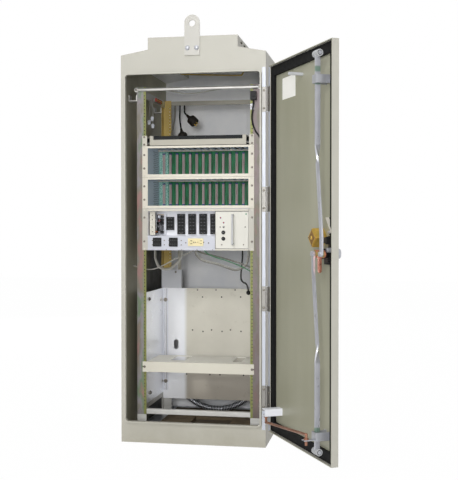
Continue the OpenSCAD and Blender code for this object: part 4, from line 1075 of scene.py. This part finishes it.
def roller_rims():
    """A groove painted dark as shade, and a raised rim, on the outer face of each roller."""
    outer_face = 19.7
    for name, z in (("upper", 1507), ("lower", 115)):
        piece = Piece(f"roller_rims_{name}", "roller_plastic", f"rollers_{name}", DOOR)
        for side in SIDES:
            at = Vector((side * outer_face + ROD_X, 20.5, z))
            for inner, outer, high, finish in ((6.4, 8.4, 0.3, "hole"), (8.6, 11.6, 0.9, "nylon")):
                profile = ((inner, -0.2), (inner, high), (outer, high), (outer, -0.2))
                piece.rings(finish, [[at + Vector((side * h, *p)) for p in circle(r, 28)]
                                     for r, h in profile], closed=True)
        piece.done()


def rear_rivets():
    """Painted rivets along the edges of the rear wall."""
    piece = Piece("rear_rivets", "housing_paint")
    spots = [(side * 292, 60 + 120 * k) for side in SIDES for k in range(13)]
    spots += [(-234 + 117 * k, z) for k in range(5) for z in (34, 1530)]
    for x, z in spots:
        piece.turned("housing", (x, 381, z), INWARD, [
            (0, 1.8), (2.4, 1.6), (4, 0.9), (4.6, 0), (0, -0.2)], 14)
    piece.done()


for make in (cables, conduit, rack_screws, module_face, outlets, relay_contacts, chassis_edges, relay_board,
             card_files, lower_bay, rack_cage, upper_bay, hinge_screws, hinge_bars, door_rivets,
             latch_details, roller_rims, rear_rivets):
    make()


# floor, world and lamps
def seen_rays(tree):
    """1 for what the camera sees directly, in a mirror or through glass."""
    path = tree.nodes.new("ShaderNodeLightPath")
    seen = path.outputs["Is Camera Ray"]
    for kind in ("Is Glossy Ray", "Is Transmission Ray"):
        most = tree.nodes.new("ShaderNodeMath")
        most.operation = "MAXIMUM"
        tree.links.new(seen, most.inputs[0])
        tree.links.new(path.outputs[kind], most.inputs[1])
        seen = most.outputs["Value"]
    return seen


def floor():
    """A pale floor that glows white where it is seen, and is plain brown inside the base."""
    base_half = {"X": 0.3, "Y": 0.375}
    mesh = bpy.data.meshes.new("floor")
    mesh.from_pydata([(-9, -7, 0), (9, -7, 0), (9, 11, 0), (-9, 11, 0)], [], [(0, 1, 2, 3)])
    ob = bpy.data.objects.new("floor", mesh)
    scene.collection.objects.link(ob)
    n = Nodes("floor_white")
    pale = n.clouds(n.noise(3), (0.86, 0.86, 0.86, 1), (0.9, 0.9, 0.9, 1))
    n.put(n.bsdf, Roughness=0.9)
    outside = n.math("MAXIMUM", *(n.step(n.math("ABSOLUTE", n.axis(axis)), half, half + 0.001)
                                  for axis, half in base_half.items()))
    n.color(n.mix(outside, srgb(88, 78, 64), pale))
    share = n.math("MULTIPLY", n.math("MULTIPLY", seen_rays(n.tree), 0.99), outside)
    mix = n.add("ShaderNodeMixShader")
    n.put(mix, Fac=share)
    n.link(n.bsdf.outputs["BSDF"], mix.inputs[1])
    n.link(n.add("ShaderNodeEmission").outputs["Emission"], mix.inputs[2])
    n.link(mix.outputs["Shader"], n.tree.nodes["Material Output"].inputs["Surface"])
    mesh.materials.append(n.mat)


def world():
    """Soft light all round, and plain white where it is seen."""
    w = bpy.data.worlds.new("studio")
    scene.world = w
    w.use_nodes = True
    tree = w.node_tree
    back = tree.nodes["Background"]
    rng = tree.nodes.new("ShaderNodeMapRange")
    rng.inputs["To Min"].default_value = 0.34
    rng.inputs["To Max"].default_value = 1
    tree.links.new(seen_rays(tree), rng.inputs["Value"])
    tree.links.new(rng.outputs["Result"], back.inputs["Strength"])
    back.inputs["Color"].default_value = (1, 1, 1, 1)


def lamp(name, place, target, size, watts, mirrored=True):
    """A square lamp; one that isn't mirrored leaves no highlight on shiny paint."""
    data = bpy.data.lights.new(name, "AREA")
    data.shape = "SQUARE"
    data.size = size
    data.energy = watts
    ob = bpy.data.objects.new(name, data)
    scene.collection.objects.link(ob)
    ob.location = place
    ob.visible_glossy = mirrored
    ob.rotation_euler = (Vector(target) - Vector(place)).to_track_quat("-Z", "Y").to_euler()


floor()
world()
DOORWAY = (0.1, -0.3, 0.85)
lamp("key", (-0.6, -6.2, 3.9), DOORWAY, 0.7, 112)
lamp("front", (0.8, -6.5, 1.3), DOORWAY, 1.2, 150)
lamp("top", (0.2, -1, 4.2), (0.1, 0, 1), 2.4, 30)
lamp("rear", (-1.9, 4.6, 1.5), (0, 0.2, 0.8), 2, 150, mirrored=False)
